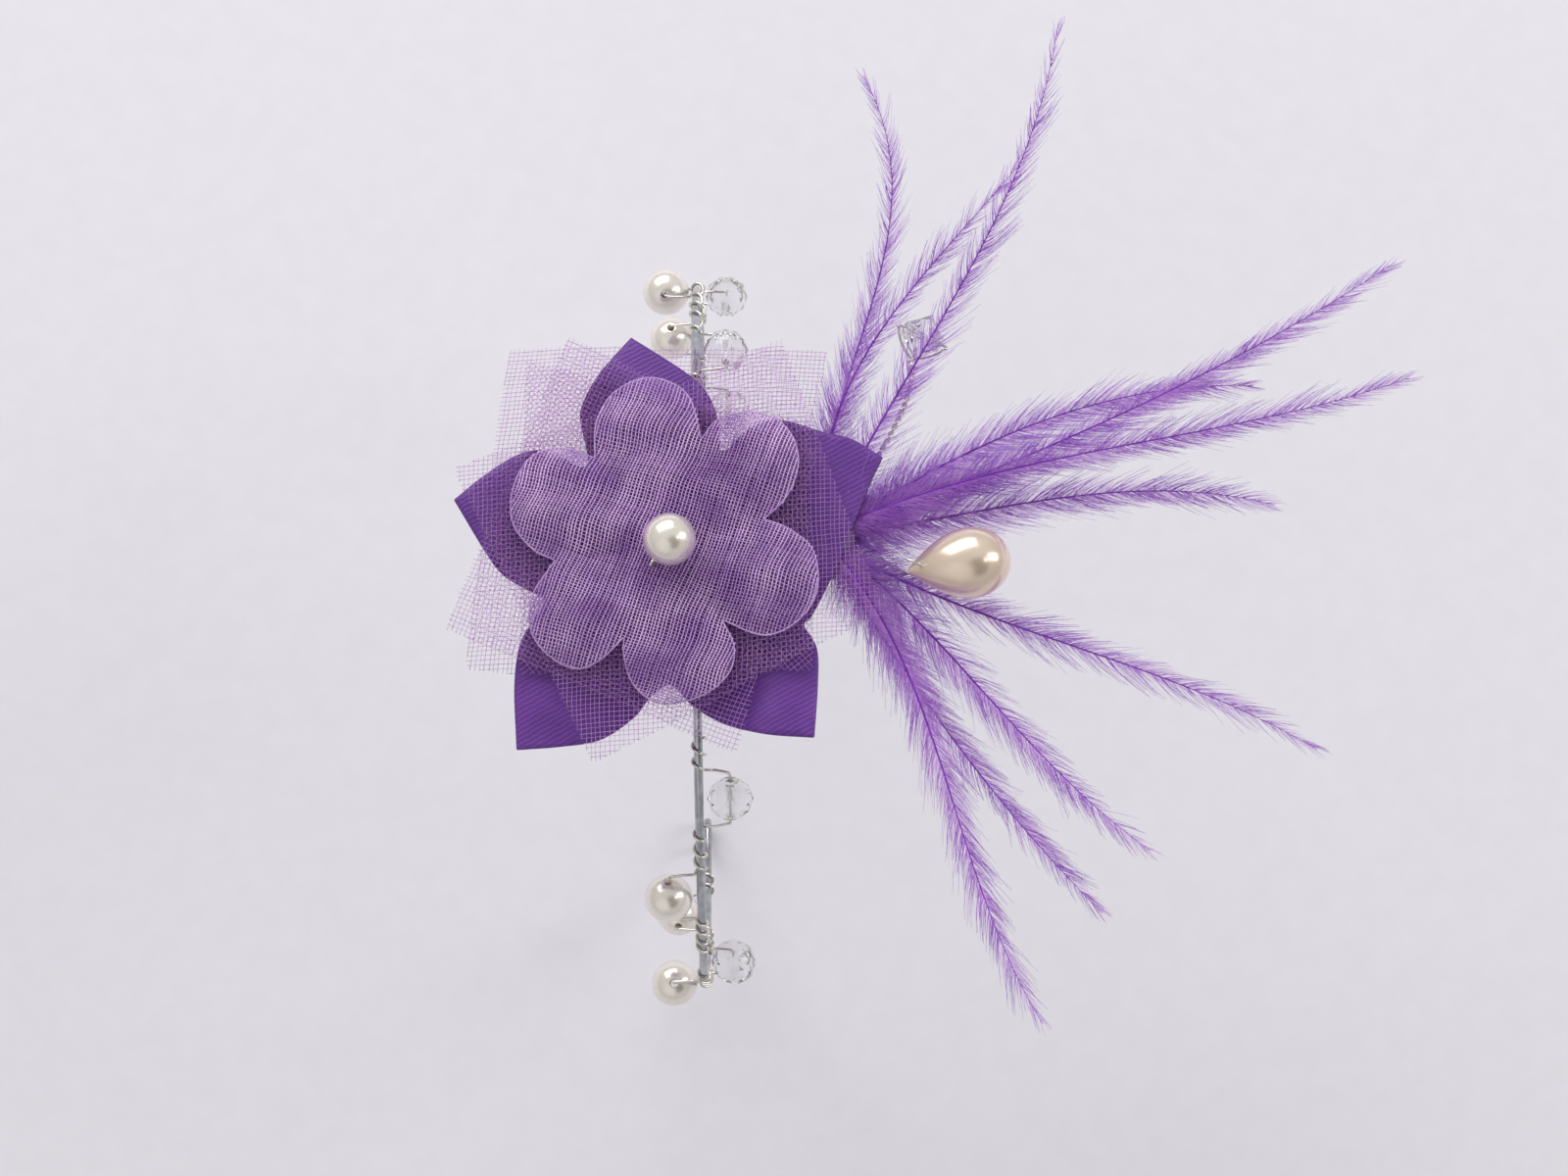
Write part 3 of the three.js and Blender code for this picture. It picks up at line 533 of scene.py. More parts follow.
def embossed_surface(base):
    under = flower_surface(base, SATIN_DROOP)
    middles = outline_points(DOME_SHARES, ORGANZA_RADIUS)

    def dome(x, y, mx, my):
        """Dome over a lobe's middle, with a ridge that narrows and sinks towards the pearl."""
        run_x, run_y = mx - centre_x, my - centre_y
        along = np.clip(((x - centre_x) * run_x + (y - centre_y) * run_y) / (run_x**2 + run_y**2), 0, 1)
        aside = (x - centre_x - along * run_x) ** 2 + (y - centre_y - along * run_y) ** 2
        width = LOBE_RADIUS * (RIDGE_SHARE + (1 - RIDGE_SHARE) * along)
        return along * np.maximum(0, 1 - aside / width**2)

    def height(x, y):
        swell = [dome(x, y, mx, my) for mx, my in middles]
        return under(x, y) + EMBOSS_HEIGHT * np.max(swell, axis=0)
    return height


def outline_points(rows, reach):
    """Points from bearings round the flower's middle and shares of a reach from it."""
    return np.array([on_bearing(centre, bearing, share * reach) for bearing, share in rows])


def curved_outline(stretches, reach):
    return np.vstack([spline(outline_points(stretch, reach), CURVE_STEPS)[:-1] for stretch in stretches])


# Materials

def srgb(screen):
    """Linear colour from the 0 to 255 values of a screen colour."""
    shares = [value / 255 for value in screen]
    return tuple(s / 12.92 if s <= 0.04045 else ((s + 0.055) / 1.055) ** 2.4 for s in shares) + (1,)


def shader(name, colour, roughness, **settings):
    """Material whose Principled shader has these constants on its own sockets."""
    material = bpy.data.materials.new(name)
    material.use_nodes = True
    principled = material.node_tree.nodes["Principled BSDF"]
    principled.inputs["Base Color"].default_value = srgb(colour)
    principled.inputs["Roughness"].default_value = roughness
    for socket, value in settings.items():
        principled.inputs[socket.replace("_", " ").title().replace("Ior", "IOR")].default_value = value
    return material


def node(owner, kind, output, **values):
    """Output of a new node, with constants or sources for its sockets and values for its settings."""
    made = owner.node_tree.nodes.new("ShaderNode" + kind)
    for key, value in values.items():
        socket = key.replace("_", " ")
        if isinstance(value, bpy.types.NodeSocket):
            link(owner, value, made.inputs[socket])
        elif socket in made.inputs:
            made.inputs[socket].default_value = value
        else:
            setattr(made, key, value)
    return made.outputs[output]


def link(owner, source, target):
    owner.node_tree.links.new(source, target)


def feed(material, source, socket):
    """Leads an output to a socket of the material's Principled shader."""
    link(material, source, material.node_tree.nodes["Principled BSDF"].inputs[socket])


def noise(material, scale, detail):
    """Noise in the object's own space."""
    place = node(material, "TexCoord", "Object")
    return node(material, "TexNoise", "Fac", Vector=place, Scale=scale, Detail=detail)


def ramped(owner, source, *stops):
    """Colour that runs between two stops, each a position and a colour."""
    ramp = node(owner, "ValToRGB", "Color", Fac=source)
    for element, (position, colour) in zip(ramp.node.color_ramp.elements, stops):
        element.position, element.color = position, colour
    return ramp


def mottled(material, dark, light, scale, low=0.35, high=0.65, detail=3.0):
    """Base colour that wanders between two colours."""
    stops = (low, srgb(dark)), (high, srgb(light))
    colour = ramped(material, noise(material, scale, detail), *stops)
    feed(material, colour, "Base Color")
    return colour


def bumped(material, scale, strength, distance):
    """Fine bump from noise."""
    height = noise(material, scale, 4.0)
    bump = node(material, "Bump", "Normal", Strength=strength, Distance=distance, Height=height)
    feed(material, bump, "Normal")


def roughened(material, scale, low, high):
    """Roughness that wanders between two values."""
    wander = noise(material, scale, 2.0)
    spread = node(material, "MapRange", "Result", Value=wander, To_Min=low, To_Max=high)
    feed(material, spread, "Roughness")


def metal(name, dark, light, low, high):
    material = shader(name, light, low, metallic=1.0)
    mottled(material, dark, light, 900, 0.3, 0.7)
    roughened(material, 700, low, high)
    bumped(material, 2500, 0.12, 0.00002)
    return material


def nacre(name, dark, light, rim, coat, sheen):
    material = shader(name, light, 0.22, metallic=0.55, coat_weight=1.0, coat_roughness=coat, coat_ior=1.6,
                      sheen_weight=sheen, sheen_roughness=0.3, sheen_tint=srgb(rim))
    mottled(material, dark, light, 380, 0.3, 0.7)
    bumped(material, 900, 0.06, 0.00003)
    return material


silver_material = metal("polished silver wire", (150, 152, 156), (196, 197, 202), 0.08, 0.18)
fine_material = metal("bright fine wire", (206, 202, 190), (232, 229, 220), 0.1, 0.2)
pearl_material = nacre("ivory nacre", (240, 231, 219), (248, 241, 231), (214, 184, 206), 0.1, 0.5)
drop_material = nacre("champagne nacre", (227, 204, 182), (242, 222, 201), (222, 150, 182), 0.16, 0.8)


def crystal_glass():
    """Cut glass, a little cloudy, with a faint play of colour."""
    material = shader("clear cut crystal", (252, 252, 253), 0.05, transmission_weight=0.92, ior=1.4,
                      thin_film_thickness=420.0, thin_film_ior=1.45)
    mottled(material, (247, 247, 250), (254, 254, 254), 600)
    bumped(material, 1500, 0.03, 0.00001)
    return material


crystal_material = crystal_glass()


def satin_weave():
    """Deep purple satin with fine slanting ribs, its colour darkened in the low parts of the ribs as
    painted shade.
    """
    material = shader("purple satin", (112, 58, 158), 0.45, sheen_weight=0.2, sheen_roughness=0.4,
                      specular_ior_level=0.4)
    dye = mottled(material, (102, 50, 148), (122, 65, 168), 260, 0.3, 0.7, 6.0)
    place = node(material, "TexCoord", "Object")
    slanted = node(material, "Mapping", "Vector", Vector=place, Rotation=(0, 0, math.radians(62)))
    ribs = node(material, "TexWave", "Fac", Vector=slanted, Scale=785.0, Distortion=2.6, Detail=3.0,
                Detail_Scale=2.5)
    # Painted shade: the base colour darkens where the ribs run low, as if shaded in their grooves
    painted_rib_shade = node(material, "MapRange", "Result", Value=ribs, To_Min=0.68)
    rib_shaded_colour = node(material, "VectorMath", "Vector", operation="SCALE", Vector=dye, Scale=painted_rib_shade)
    bump = node(material, "Bump", "Normal", Strength=0.6, Distance=0.00004, Height=ribs)
    feed(material, rib_shaded_colour, "Base Color")
    feed(material, bump, "Normal")
    return material


satin_material = satin_weave()


def thread(name, dark, light, roughness, scale=1400, specular=0.6, **settings):
    material = shader(name, light, roughness, specular_ior_level=specular, **settings)
    mottled(material, dark, light, scale, 0.35, 0.65)
    bumped(material, 5000, 0.2, 0.00001)
    return material


tulle_material = thread("lilac tulle thread", (234, 184, 246), (248, 209, 253), 0.3,
                        transmission_weight=0.55, ior=1.25)
# The broad mottle of the organza warp and weft stands in for the light and shade of the pressed lobes:
# painted light and shade, laid at random
warp_material = thread("lilac organza warp", (190, 144, 216), (238, 202, 250), 0.26, 260)
weft_material = thread("lilac organza weft", (156, 112, 190), (206, 166, 226), 0.4, 260)
hem_material = thread("sealed organza edge", (176, 138, 200), (200, 166, 218), 0.4)
barb_material = thread("violet feather web", (204, 134, 238), (222, 164, 246), 0.6, 300, 0.3)
fringe_material = thread("violet feather fringe", (168, 104, 216), (196, 136, 234), 0.6, 300, 0.3)
quill_material = thread("dark feather quill", (110, 46, 158), (138, 72, 188), 0.7, 500, 0.1)
felt_material = thread("purple felt", (96, 58, 140), (120, 80, 164), 0.95)
glue_material = shader("set craft glue", (150, 104, 190), 0.3, transmission_weight=0.35, ior=1.45)
mottled(glue_material, (140, 94, 182), (164, 118, 204), 500)
bumped(glue_material, 500, 0.3, 0.0002)


def placed(name, mesh, material, body, slot, *nodes, smooth=True):
    """Makes a piece, puts it on its body and hides the parts it stands for; the slot is not used."""
    piece = mesh_object(name, *mesh, material, smooth)
    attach(piece, body)
    if nodes:
        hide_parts(*nodes)
    return piece


# Camera

CAMERA_PLACE = (4.604, -64.958, 324.701)
CAMERA_AZIMUTH = math.radians(2.823)
CAMERA_ELEVATION = math.radians(77.893)
CAMERA_ROLL = math.radians(2.086)
FOCAL_PIXELS = 3480
PICTURE_WIDTH = 1600


def make_camera():
    back = Vector((
        -math.sin(CAMERA_AZIMUTH) * math.cos(CAMERA_ELEVATION),
        -math.cos(CAMERA_AZIMUTH) * math.cos(CAMERA_ELEVATION),
        math.sin(CAMERA_ELEVATION),
    ))
    level = Vector((0, 0, 1)).cross(back).normalized()
    upright = back.cross(level)
    c, s = math.cos(CAMERA_ROLL), math.sin(CAMERA_ROLL)
    right, up = c * level + s * upright, c * upright - s * level
    data = bpy.data.cameras.new("camera")
    data.sensor_width = 36
    data.lens = FOCAL_PIXELS / PICTURE_WIDTH * data.sensor_width
    data.clip_start, data.clip_end = 0.01, 20
    camera = bpy.data.objects.new("camera", data)
    camera.matrix_world = Matrix((right, up, back)).transposed().to_4x4()
    camera.location = Vector(CAMERA_PLACE) * MM
    bpy.context.scene.collection.objects.link(camera)
    bpy.context.scene.camera = camera


make_camera()


# Cuff and its windings

def cuff_points(side, arc, across, outwards):
    """Points at arc lengths from the top, moved sideways and outwards from the cuff wire's centreline."""
    arc, across, outwards = np.broadcast_arrays(*(np.asarray(v, float) for v in (arc, across, outwards)))
    angle = arc / CUFF_RADIUS
    reach = CUFF_RADIUS + outwards
    return np.stack([across, side * reach * np.sin(angle), reach * np.cos(angle)], axis=-1)


cuff_end = CUFF_RADIUS * math.radians(180 - CUFF_OPENING / 2)


def make_cuff():
    turn = np.radians(END_LOOP_TURN) * np.arange(1, LOOP_STEPS + 1) / LOOP_STEPS
    arc = cuff_end + END_LOOP_RADIUS * np.sin(turn)
    outwards = END_LOOP_RADIUS * (1 - np.cos(turn))
    path = np.vstack([
        cuff_points(-1, arc, 0, outwards)[::-1],
        cuff_points(1, np.linspace(-cuff_end, cuff_end, CUFF_STEPS), 0, 0),
        cuff_points(1, arc, 0, outwards),
    ])
    placed("cuff", tubes(path[None], CUFF_WIRE / 2, CUFF_SIDES), silver_material, "cuff", "silver_wire",
           "cuff_wire")


def make_wire(name, path, node_name):
    """Piece of fine wire along a path, riding on the cuff."""
    mesh = tubes(path[None], FINE_WIRE / 2, WIRE_SIDES)
    placed(name, mesh, fine_material, "cuff", "fine_wire", node_name)


def arm_beads(side):
    """Arc length, sideways place and radius of each bead of an arm, outwards from the flower."""
    beads = []
    for name in joints:
        if not name.startswith("front_" if side < 0 else "back_"):
            continue
        x, y, z = joint_place(name)
        arc = math.atan2(side * y, z) % (2 * math.pi) * CUFF_RADIUS
        beads.append((arc, x, radius_of(name)))
    return sorted(beads)


def winding(side, start, end, start_angle, turns, draw):
    """Turns of fine wire that hug the cuff wire between two arc lengths."""
    share = np.linspace(0, 1, max(4, int(turns * TURN_STEPS)) + 1)
    wander = np.sin(2 * math.pi * (share * turns * draw.uniform(0.4, 0.8) + draw.uniform()))
    angle = math.radians(start_angle) + side * 2 * math.pi * turns * share
    arc = start + (end - start) * (share + TURN_WANDER * wander * share * (1 - share) * 2)
    slack = TURN_SLACK * np.sin(math.pi * share) ** 2 * (0.5 + 0.5 * np.cos(angle))
    radius = CUFF_WIRE / 2 + FINE_WIRE / 2 + WIRE_CLEAR + slack
    return cuff_points(side, arc, radius * np.cos(angle), radius * np.sin(angle))


def through_bead(side, arc, across, radius):
    """Fine wire from the cuff wire out to a bead, straight through it and back."""
    mouth, bend = radius + HOLE_MOUTH, LEAD_RUN * LEAD_BEND
    lead = [(mouth + LEAD_RUN - bend / 3, LEAD_OUT[0]), (mouth + bend, LEAD_OUT[1]), (mouth - bend, 1)]
    knots = [(-along, out) for along, out in lead] + [(0, 1)] + lead[::-1]
    run = cuff_points(side, [arc + along for along, _ in knots], [across * out for _, out in knots], 0)
    lean = arc / CUFF_RADIUS
    tangent = np.array([0, side * math.cos(lean), -math.sin(lean)])
    for i in (2, 3, 4):
        run[i] = cuff_points(side, arc, across, 0) + tangent * knots[i][0]
    return spline(run, LEAD_STEPS)


def make_winding(side, name, node_name, seed):
    draw = np.random.default_rng(seed)
    path, end = [], None
    for arc, across, radius in arm_beads(side):
        reach = radius + HOLE_MOUTH + LEAD_RUN
        start = arc - reach
        near, far = (0, 180) if across > 0 else (180, 0)
        if end is None:
            path.append(winding(side, start - ANCHOR_TURNS * TURN_PITCH, start, near, ANCHOR_TURNS, draw))
        else:
            path.append(winding(side, end, start, far, TURNS_BETWEEN_BEADS, draw))
        path.append(through_bead(side, arc, across, radius))
        end = arc + reach
    last = min(end + ANCHOR_TURNS * TURN_PITCH, cuff_end)
    path.append(winding(side, end, last, near, ANCHOR_TURNS, draw))
    make_wire(name, np.vstack(path), node_name)


def make_tie():
    """Wire that ties the flower on, through the centre pearl and round the cuff on both sides."""
    draw = np.random.default_rng(TIE_SEED)
    radius = radius_of("centre_pearl")
    arms = []
    for bearing, shares in ((PEARL_WIRE_BEARING, HUGGING_SHARES), (PEARL_WIRE_BEARING + 180, BOWED_SHARES)):
        knots = [(*on_bearing(centre, bearing, radius * out), pearl_height + radius * rise)
                 for out, rise in shares]
        x, y = on_bearing(centre, bearing, radius * TIE_FOOT_SHARE)
        side = 1 if y > 0 else -1
        start = abs(y) + FINE_WIRE
        turns = winding(side, start, start + TIE_TURNS * TURN_PITCH, 180, side * TIE_TURNS, draw)
        knots += [(x, y, organza_base), (x, y, tulle_back_base - REST_GAP), turns[0]]
        arms.append(np.vstack([spline(knots, WIRE_STEPS)[:-1], turns]))
    make_wire("tie_wire", np.vstack([arms[0][::-1], arms[1]]), "flower_tie_wire")


# Beads

def drilled_profile(radius):
    """Profile of a round bead about Z with a hole along it whose mouths are slightly rounded."""
    reach = math.acos((BEAD_HOLE + HOLE_LIP) / radius)
    angle = np.linspace(-reach, reach, PEARL_ROWS)
    outer = np.column_stack([radius * np.cos(angle), radius * np.sin(angle)])
    mouth = outer[-1, 1] - HOLE_LIP / 2
    return np.vstack([outer, [(BEAD_HOLE, mouth), (BEAD_HOLE, 0), (BEAD_HOLE, -mouth)]])


def make_bead(name, node_name, mesh, place, material, slot, smooth=True):
    """Bead on its own body, its hole along its joint's axis."""
    points, faces = mesh
    points = turned_to(points, joints[node_name]["axis"], place)
    placed(name, (points, faces), material, node_name, slot, node_name, smooth=smooth)


def make_pearl(name, node_name):
    mesh = lathed(drilled_profile(radius_of(node_name)), PEARL_SEGMENTS)
    make_bead(name, node_name, mesh, middle(node_name), pearl_material, "pearl")


def facetted(shares, sides, radius):
    """Cut bead about Z: staggered rings of corners, joined by triangles, with a hole along it."""
    def ring(row, out, along):
        return level_ring(0, 0, out, around(sides, 0.5 * (row % 2)), radius * along)

    points = [ring(row, radius * out, along) for row, (out, along) in enumerate(shares)]
    points += [ring(0, BEAD_HOLE, shares[-1][1]), ring(0, BEAD_HOLE, shares[0][1])]
    index = np.arange(len(points) * sides).reshape(-1, sides)
    faces = []
    for row in range(len(shares) - 1):
        a, b = index[row], index[row + 1]
        ahead_a, ahead_b = np.roll(a, -1), np.roll(b, -1)
        first, second = (ahead_a, b) if row % 2 == 0 else (ahead_b, a)
        faces += [np.column_stack([a, first, b]), np.column_stack([second, ahead_a, ahead_b])]
    low_rim, top_rim, top_hole, low_hole = index[[0, -3, -2, -1]]
    walls = [strips(top_rim, top_hole), strips(low_hole, low_rim), strips(top_hole, low_hole)]
    return np.vstack(points), [np.vstack(faces), np.vstack(walls)]


def make_crystal(name, node_name, shares, sides):
    mesh = facetted(shares, sides, radius_of(node_name))
    make_bead(name, node_name, mesh, joint_place(node_name), crystal_material, "crystal", smooth=False)


# Woven cloth made of its threads

def stretches_inside(outline, origin, along):
    """Pairs of distances between which a straight line lies inside an outline."""
    across = np.array([-along[1], along[0]])
    offset = (outline - origin) @ across
    place = (outline - origin) @ along
    ahead_offset, ahead_place = np.roll(offset, -1), np.roll(place, -1)
    crossing = (offset < 0) != (ahead_offset < 0)
    share = offset[crossing] / (offset[crossing] - ahead_offset[crossing])
    cuts = np.sort(place[crossing] + share * (ahead_place[crossing] - place[crossing]))
    return cuts.reshape(-1, 2)


def woven(outline, bearings, pitches, radii, shapes, surface, sway, jitter, seed):
    """The two sets of threads of a plain weave inside an outline, over and under each other."""
    draw = np.random.default_rng(seed)
    origin = np.array(centre)
    headings = [np.array([math.cos(angle), math.sin(angle)]) for angle in np.radians(bearings)]
    skew = abs(headings[0][0] * headings[1][1] - headings[0][1] * headings[1][0])
    reach = np.max(np.linalg.norm(outline - origin, axis=1))
    lift = sum(radii) / 2
    sets = []
    for system in (0, 1):
        along, across = headings[system], headings[1 - system]
        spacing, crossing = pitches[system] / skew, pitches[1 - system] / skew
        parts = []
        for k in range(-int(reach * 1.1 / spacing), int(reach * 1.1 / spacing) + 1):
            start_point = origin + across * (k * spacing + draw.normal(0, spacing * jitter))
            thickness = radii[system] * draw.uniform(1 - THREAD_SPREAD, 1 + THREAD_SPREAD)
            for start, end in stretches_inside(outline, start_point, along):
                start += draw.uniform(-FRAY_OUT, FRAY_IN)
                end += draw.uniform(-FRAY_IN, FRAY_OUT)
                first, last = math.ceil(start / crossing), math.floor(end / crossing)
                if last - first < 2:
                    continue
                step = np.arange(first, last + 1)
                place = step * crossing
                place[0], place[-1] = start, end
                x, y = (start_point + along * place[:, None]).T
                aside = sway * ripple(x, y, 6, seed + 1)
                flat = np.column_stack([x - along[1] * aside, y + along[0] * aside])
                over = np.where((step + k) % 2 == 0, 1, -1) * (1 if system == 0 else -1)
                height = surface(flat[:, 0], flat[:, 1]) + lift * over
                line = np.column_stack([flat, height])[None]
                parts.append(tubes(line, thickness, 4, tall=shapes[system]))
        sets.append(joined(parts))
    return sets


def make_tulle(square, surface):
    rows, bearings = TULLE_SQUARES[square]
    outline = outline_points(rows, tulle_reach)
    name = "tulle_back" if square == "back" else f"tulle_front_{square}"
    seed = TULLE_SEEDS[square]

    def wavy(x, y):
        return surface(x, y) + TULLE_WAVE * ripple(x, y, TULLE_WAVE_LENGTH, seed + 3)

    threads = woven(outline, bearings, [TULLE_PITCH] * 2, [TULLE_THREAD] * 2, [TULLE_THREAD_SHAPE] * 2,
                    wavy, sway=0.1, jitter=0.05, seed=seed)
    piece = placed(f"{name}_net", joined(threads), tulle_material, "cuff", "tulle", name)
    return piece


def make_organza():
    outline = curved_outline(ORGANZA_OUTLINE_SHARES, ORGANZA_RADIUS)
    surface = embossed_surface(organza_base + ORGANZA_THICKNESS / 2)
    warp, weft = woven(outline, WEAVE_BEARINGS, WEAVE_PITCHES, WEAVE_THREADS, WEAVE_SHAPES, surface,
                       sway=0.3, jitter=0.07, seed=ORGANZA_SEED)
    edge = evenly(outline, HEM_STEP)
    rim = np.column_stack([edge, surface(edge[:, 0], edge[:, 1])])
    hem = tubes(rim[None], HEM_THREAD, 6, closed=True)
    piece = placed("organza_petals", warp, warp_material, "cuff", "organza", "organza_flower")
    cross = placed("organza_weft", weft, weft_material, "cuff", "organza")
    trim = placed("organza_edge", hem, hem_material, "cuff", "organza")


# Satin flower

def make_satin():
    outline = curved_outline(SATIN_OUTLINE_SHARES, SATIN_RADIUS)
    under = flower_surface(satin_base, SATIN_DROOP)

    def creased(x, y):
        outer = smoothstep(reach_from_centre(x, y), CREASE_START, CREASE_FULL)
        crease = CREASE_HEIGHT * outer * ripple(x, y, CREASE_LENGTH, CREASE_SEED)
        return under(x, y) + crease + DIMPLE_HEIGHT * ripple(x, y, DIMPLE_LENGTH, DIMPLE_SEED)

    mesh = slab(outline, creased, SATIN_THICKNESS, SATIN_CELL, SATIN_EDGE)
    piece = placed("satin_petals", mesh, satin_material, "cuff", "satin", "satin_flower")


def pad_outline():
    """Outline of the pad: an arc round the flower's middle and one round the feathers' root."""
    big, small = half("backing_pad", 1), corners("backing_pad")[1][0] - spray_x
    run = np.subtract(spray, centre)
    bearing = math.degrees(math.atan2(run[1], run[0]))
    lean = math.degrees(math.acos((big - small) / np.linalg.norm(run)))
    back = np.linspace(bearing + lean, bearing - lean + 360, 60)
    front = np.linspace(bearing - lean, bearing + lean, 40)
    return np.vstack([on_bearing(centre, back, big), on_bearing(spray, front, small)])


def make_pad():
    outline = pad_outline()

    def fuzzy(x, y):
        return pad_low + FELT_FUZZ * ripple(x, y, FELT_FUZZ_LENGTH, FELT_SEED)

    mesh = slab(outline, fuzzy, pad_high - pad_low, FELT_CELL, FELT_EDGE)
    piece = placed("felt_pad", mesh, felt_material, "cuff", "felt", "backing_pad")


def make_glue():
    """Uneven dome of glue over the feathers' roots."""
    angle = around(GLUE_SEGMENTS)
    uneven = 1 + 0.05 * np.sin(3 * angle + 1) + 0.04 * np.sin(5 * angle)
    rings = []
    for i in range(GLUE_RINGS + 1):
        tilt = math.pi * (i / GLUE_RINGS - 0.5)
        out = GLUE_RADIUS * math.cos(tilt) ** 0.6 * uneven
        height = glue_height + half("glue_spot", 2) * math.sin(tilt)
        rings.append(level_ring(spray_x, spray_y, out, angle, height))
    placed("glue", capped(np.array(rings)), glue_material, "cuff", "glue", "glue_spot")


# Feathers

def feather_curve(row, samples):
    bearing, length_share, near, far, layer = row[:5]
    length = FEATHER_LENGTH * length_share
    angle = math.radians(bearing)
    height = satin_base + FEATHER_THICKNESS / 2 + feather_pitch * layer
    fan = FEATHER_FAN * (layer - (FEATHER_LAYERS - 1) / 2)

    def place(along, aside, rise):
        return np.array([
            spray_x + along * math.cos(angle) - aside * math.sin(angle),
            spray_y + along * math.sin(angle) + aside * math.cos(angle),
            height + rise,
        ])

    return bezier(place(0, 0, 0), place(length / 3, length * near, 0),
                  place(2 * length / 3, length * far, fan / 3), place(length, 0, fan), samples)


def barbs_of_side(draw, at, direction, root, length, side, fullness, web, number):
    """Barbs of one side of a feather: long ones in small tufts, a short web, and down near the root."""
    span = length - root
    marks = np.linspace(0, span, 200)
    crowding = np.cumsum(1 + 2 * np.exp(-marks / ROOT_DOWN_REACH) - 0.6 * smoothstep(marks / span, 0.7, 1))
    long_count = int(FRINGE_PER_MM * span)
    web_count = int(WEB_PER_MM * (ROOT_WEB_SHARE + (1 - ROOT_WEB_SHARE) * web) * span)
    count = long_count + web_count
    is_long = np.arange(count) < long_count
    # Where each barb leaves the quill
    base = np.interp(draw.uniform(0, crowding[-1], count), crowding, marks) * (1 + BARB_OVERRUN / span)
    base = root - BARB_SINK + base
    share = (base - root) / span
    down = np.exp(-np.maximum(0, base - root) / ROOT_DOWN_REACH)
    # Lengths
    waver = 1 + 0.1 * np.sin(base * draw.uniform(0.5, 0.8) + draw.uniform(0, 6))
    size = BARB_LENGTH * fullness * waver * (1 - 0.4 * share**2)
    web_reach = 0.3 + 0.5 * min(web, 1.1)
    size = size * np.where(is_long, draw.uniform(0.6, 1.1, count), draw.uniform(0.1, web_reach, count))
    size = np.minimum(size, (length - base) * 0.5 + 1.3)
    # Angles to the quill at a barb's base and end, and the tilt out of the feather's plane
    narrow = 1 - 0.4 * smoothstep(share, 0.85, 1.0)
    opening = BARB_OPENING - 10 * share + draw.normal(0, 5, count) + DOWN_OPENING * down
    closing = BARB_CLOSING - 5 * share + draw.normal(0, 4, count)
    opening, closing = np.radians(opening) * narrow, np.radians(closing) * narrow
    closing += np.radians(DOWN_CURL) * down**1.5 * draw.uniform(-0.2, 1, count)
    along = direction(base)
    aside = unit(np.cross([0, 0, 1], along)) * side
    up = np.cross(along, aside) * side
    tilt = np.radians(draw.normal(0, 8, count) + 4 * np.sin(base * 0.35 + number) + DOWN_TILT * down)
    out = aside * np.cos(tilt)[:, None] + up * np.sin(tilt)[:, None]
    # Ends of long barbs pulled together in tufts
    tuft = TUFT_SPACING + 0.1 * math.sin(number)
    pull = (np.round(base / tuft + 0.4 * np.sin(base)) * tuft - base) * np.where(is_long, 0.7, 0.1)
    parts = []
    for group, steps, radius in ((is_long, 7, FRINGE_RADIUS), (~is_long, 5, WEB_RADIUS)):
        t = np.linspace(0, 1, steps)
        turn = opening[group, None] + (closing - opening)[group, None] * (1 - (1 - t) ** 2)
        step = size[group, None] / (steps - 1)
        forward = np.cumsum(np.cos(turn) * step, axis=1) - np.cos(turn[:, :1]) * step
        outward = np.cumsum(np.sin(turn) * step, axis=1) - np.sin(turn[:, :1]) * step
        forward = forward + pull[group, None] * t**3
        path = (at(base[group])[:, None] + forward[:, :, None] * along[group, None]
                + outward[:, :, None] * out[group, None])
        thick = radius * draw.uniform(0.8, 1.2, len(path))[:, None] * (1 - 0.6 * t)
        parts.append(tubes(path, thick, 3))
    return parts


def make_feather(number, row):
    draw = np.random.default_rng(FEATHER_SEED + number)
    dense = feather_curve(row, FEATHER_STEPS)
    run = run_along(dense)
    length = run[-1]
    root = GLUE_RADIUS + REST_GAP

    def at(distance):
        return np.stack([np.interp(distance, run, dense[:, axis]) for axis in range(3)], axis=-1)

    def direction(distance):
        return unit(at(np.minimum(distance + 0.3, length)) - at(np.maximum(distance - 0.3, 0)))

    spine = np.linspace(root - ROOT_SINK, length, QUILL_STEPS)
    taper = 1 - QUILL_TAPER * (spine - root) / (length - root)
    quill = tubes(at(spine)[None], (QUILL_RADIUS * taper)[None], 6)
    fringe, web = zip(*(barbs_of_side(draw, at, direction, root, length, side, *shares, number)
                        for side, shares in ((1, row[5]), (-1, row[6]))))
    name = f"plume_{number:02d}"
    placed(f"{name}_web", joined(web), barb_material, "cuff", "feather", f"feather_{number:02d}")
    placed(f"{name}_fringe", joined(fringe), fringe_material, "cuff", "feather")
    placed(f"{name}_quill", quill, quill_material, "cuff", "feather")


# Drop pearl and the two stems

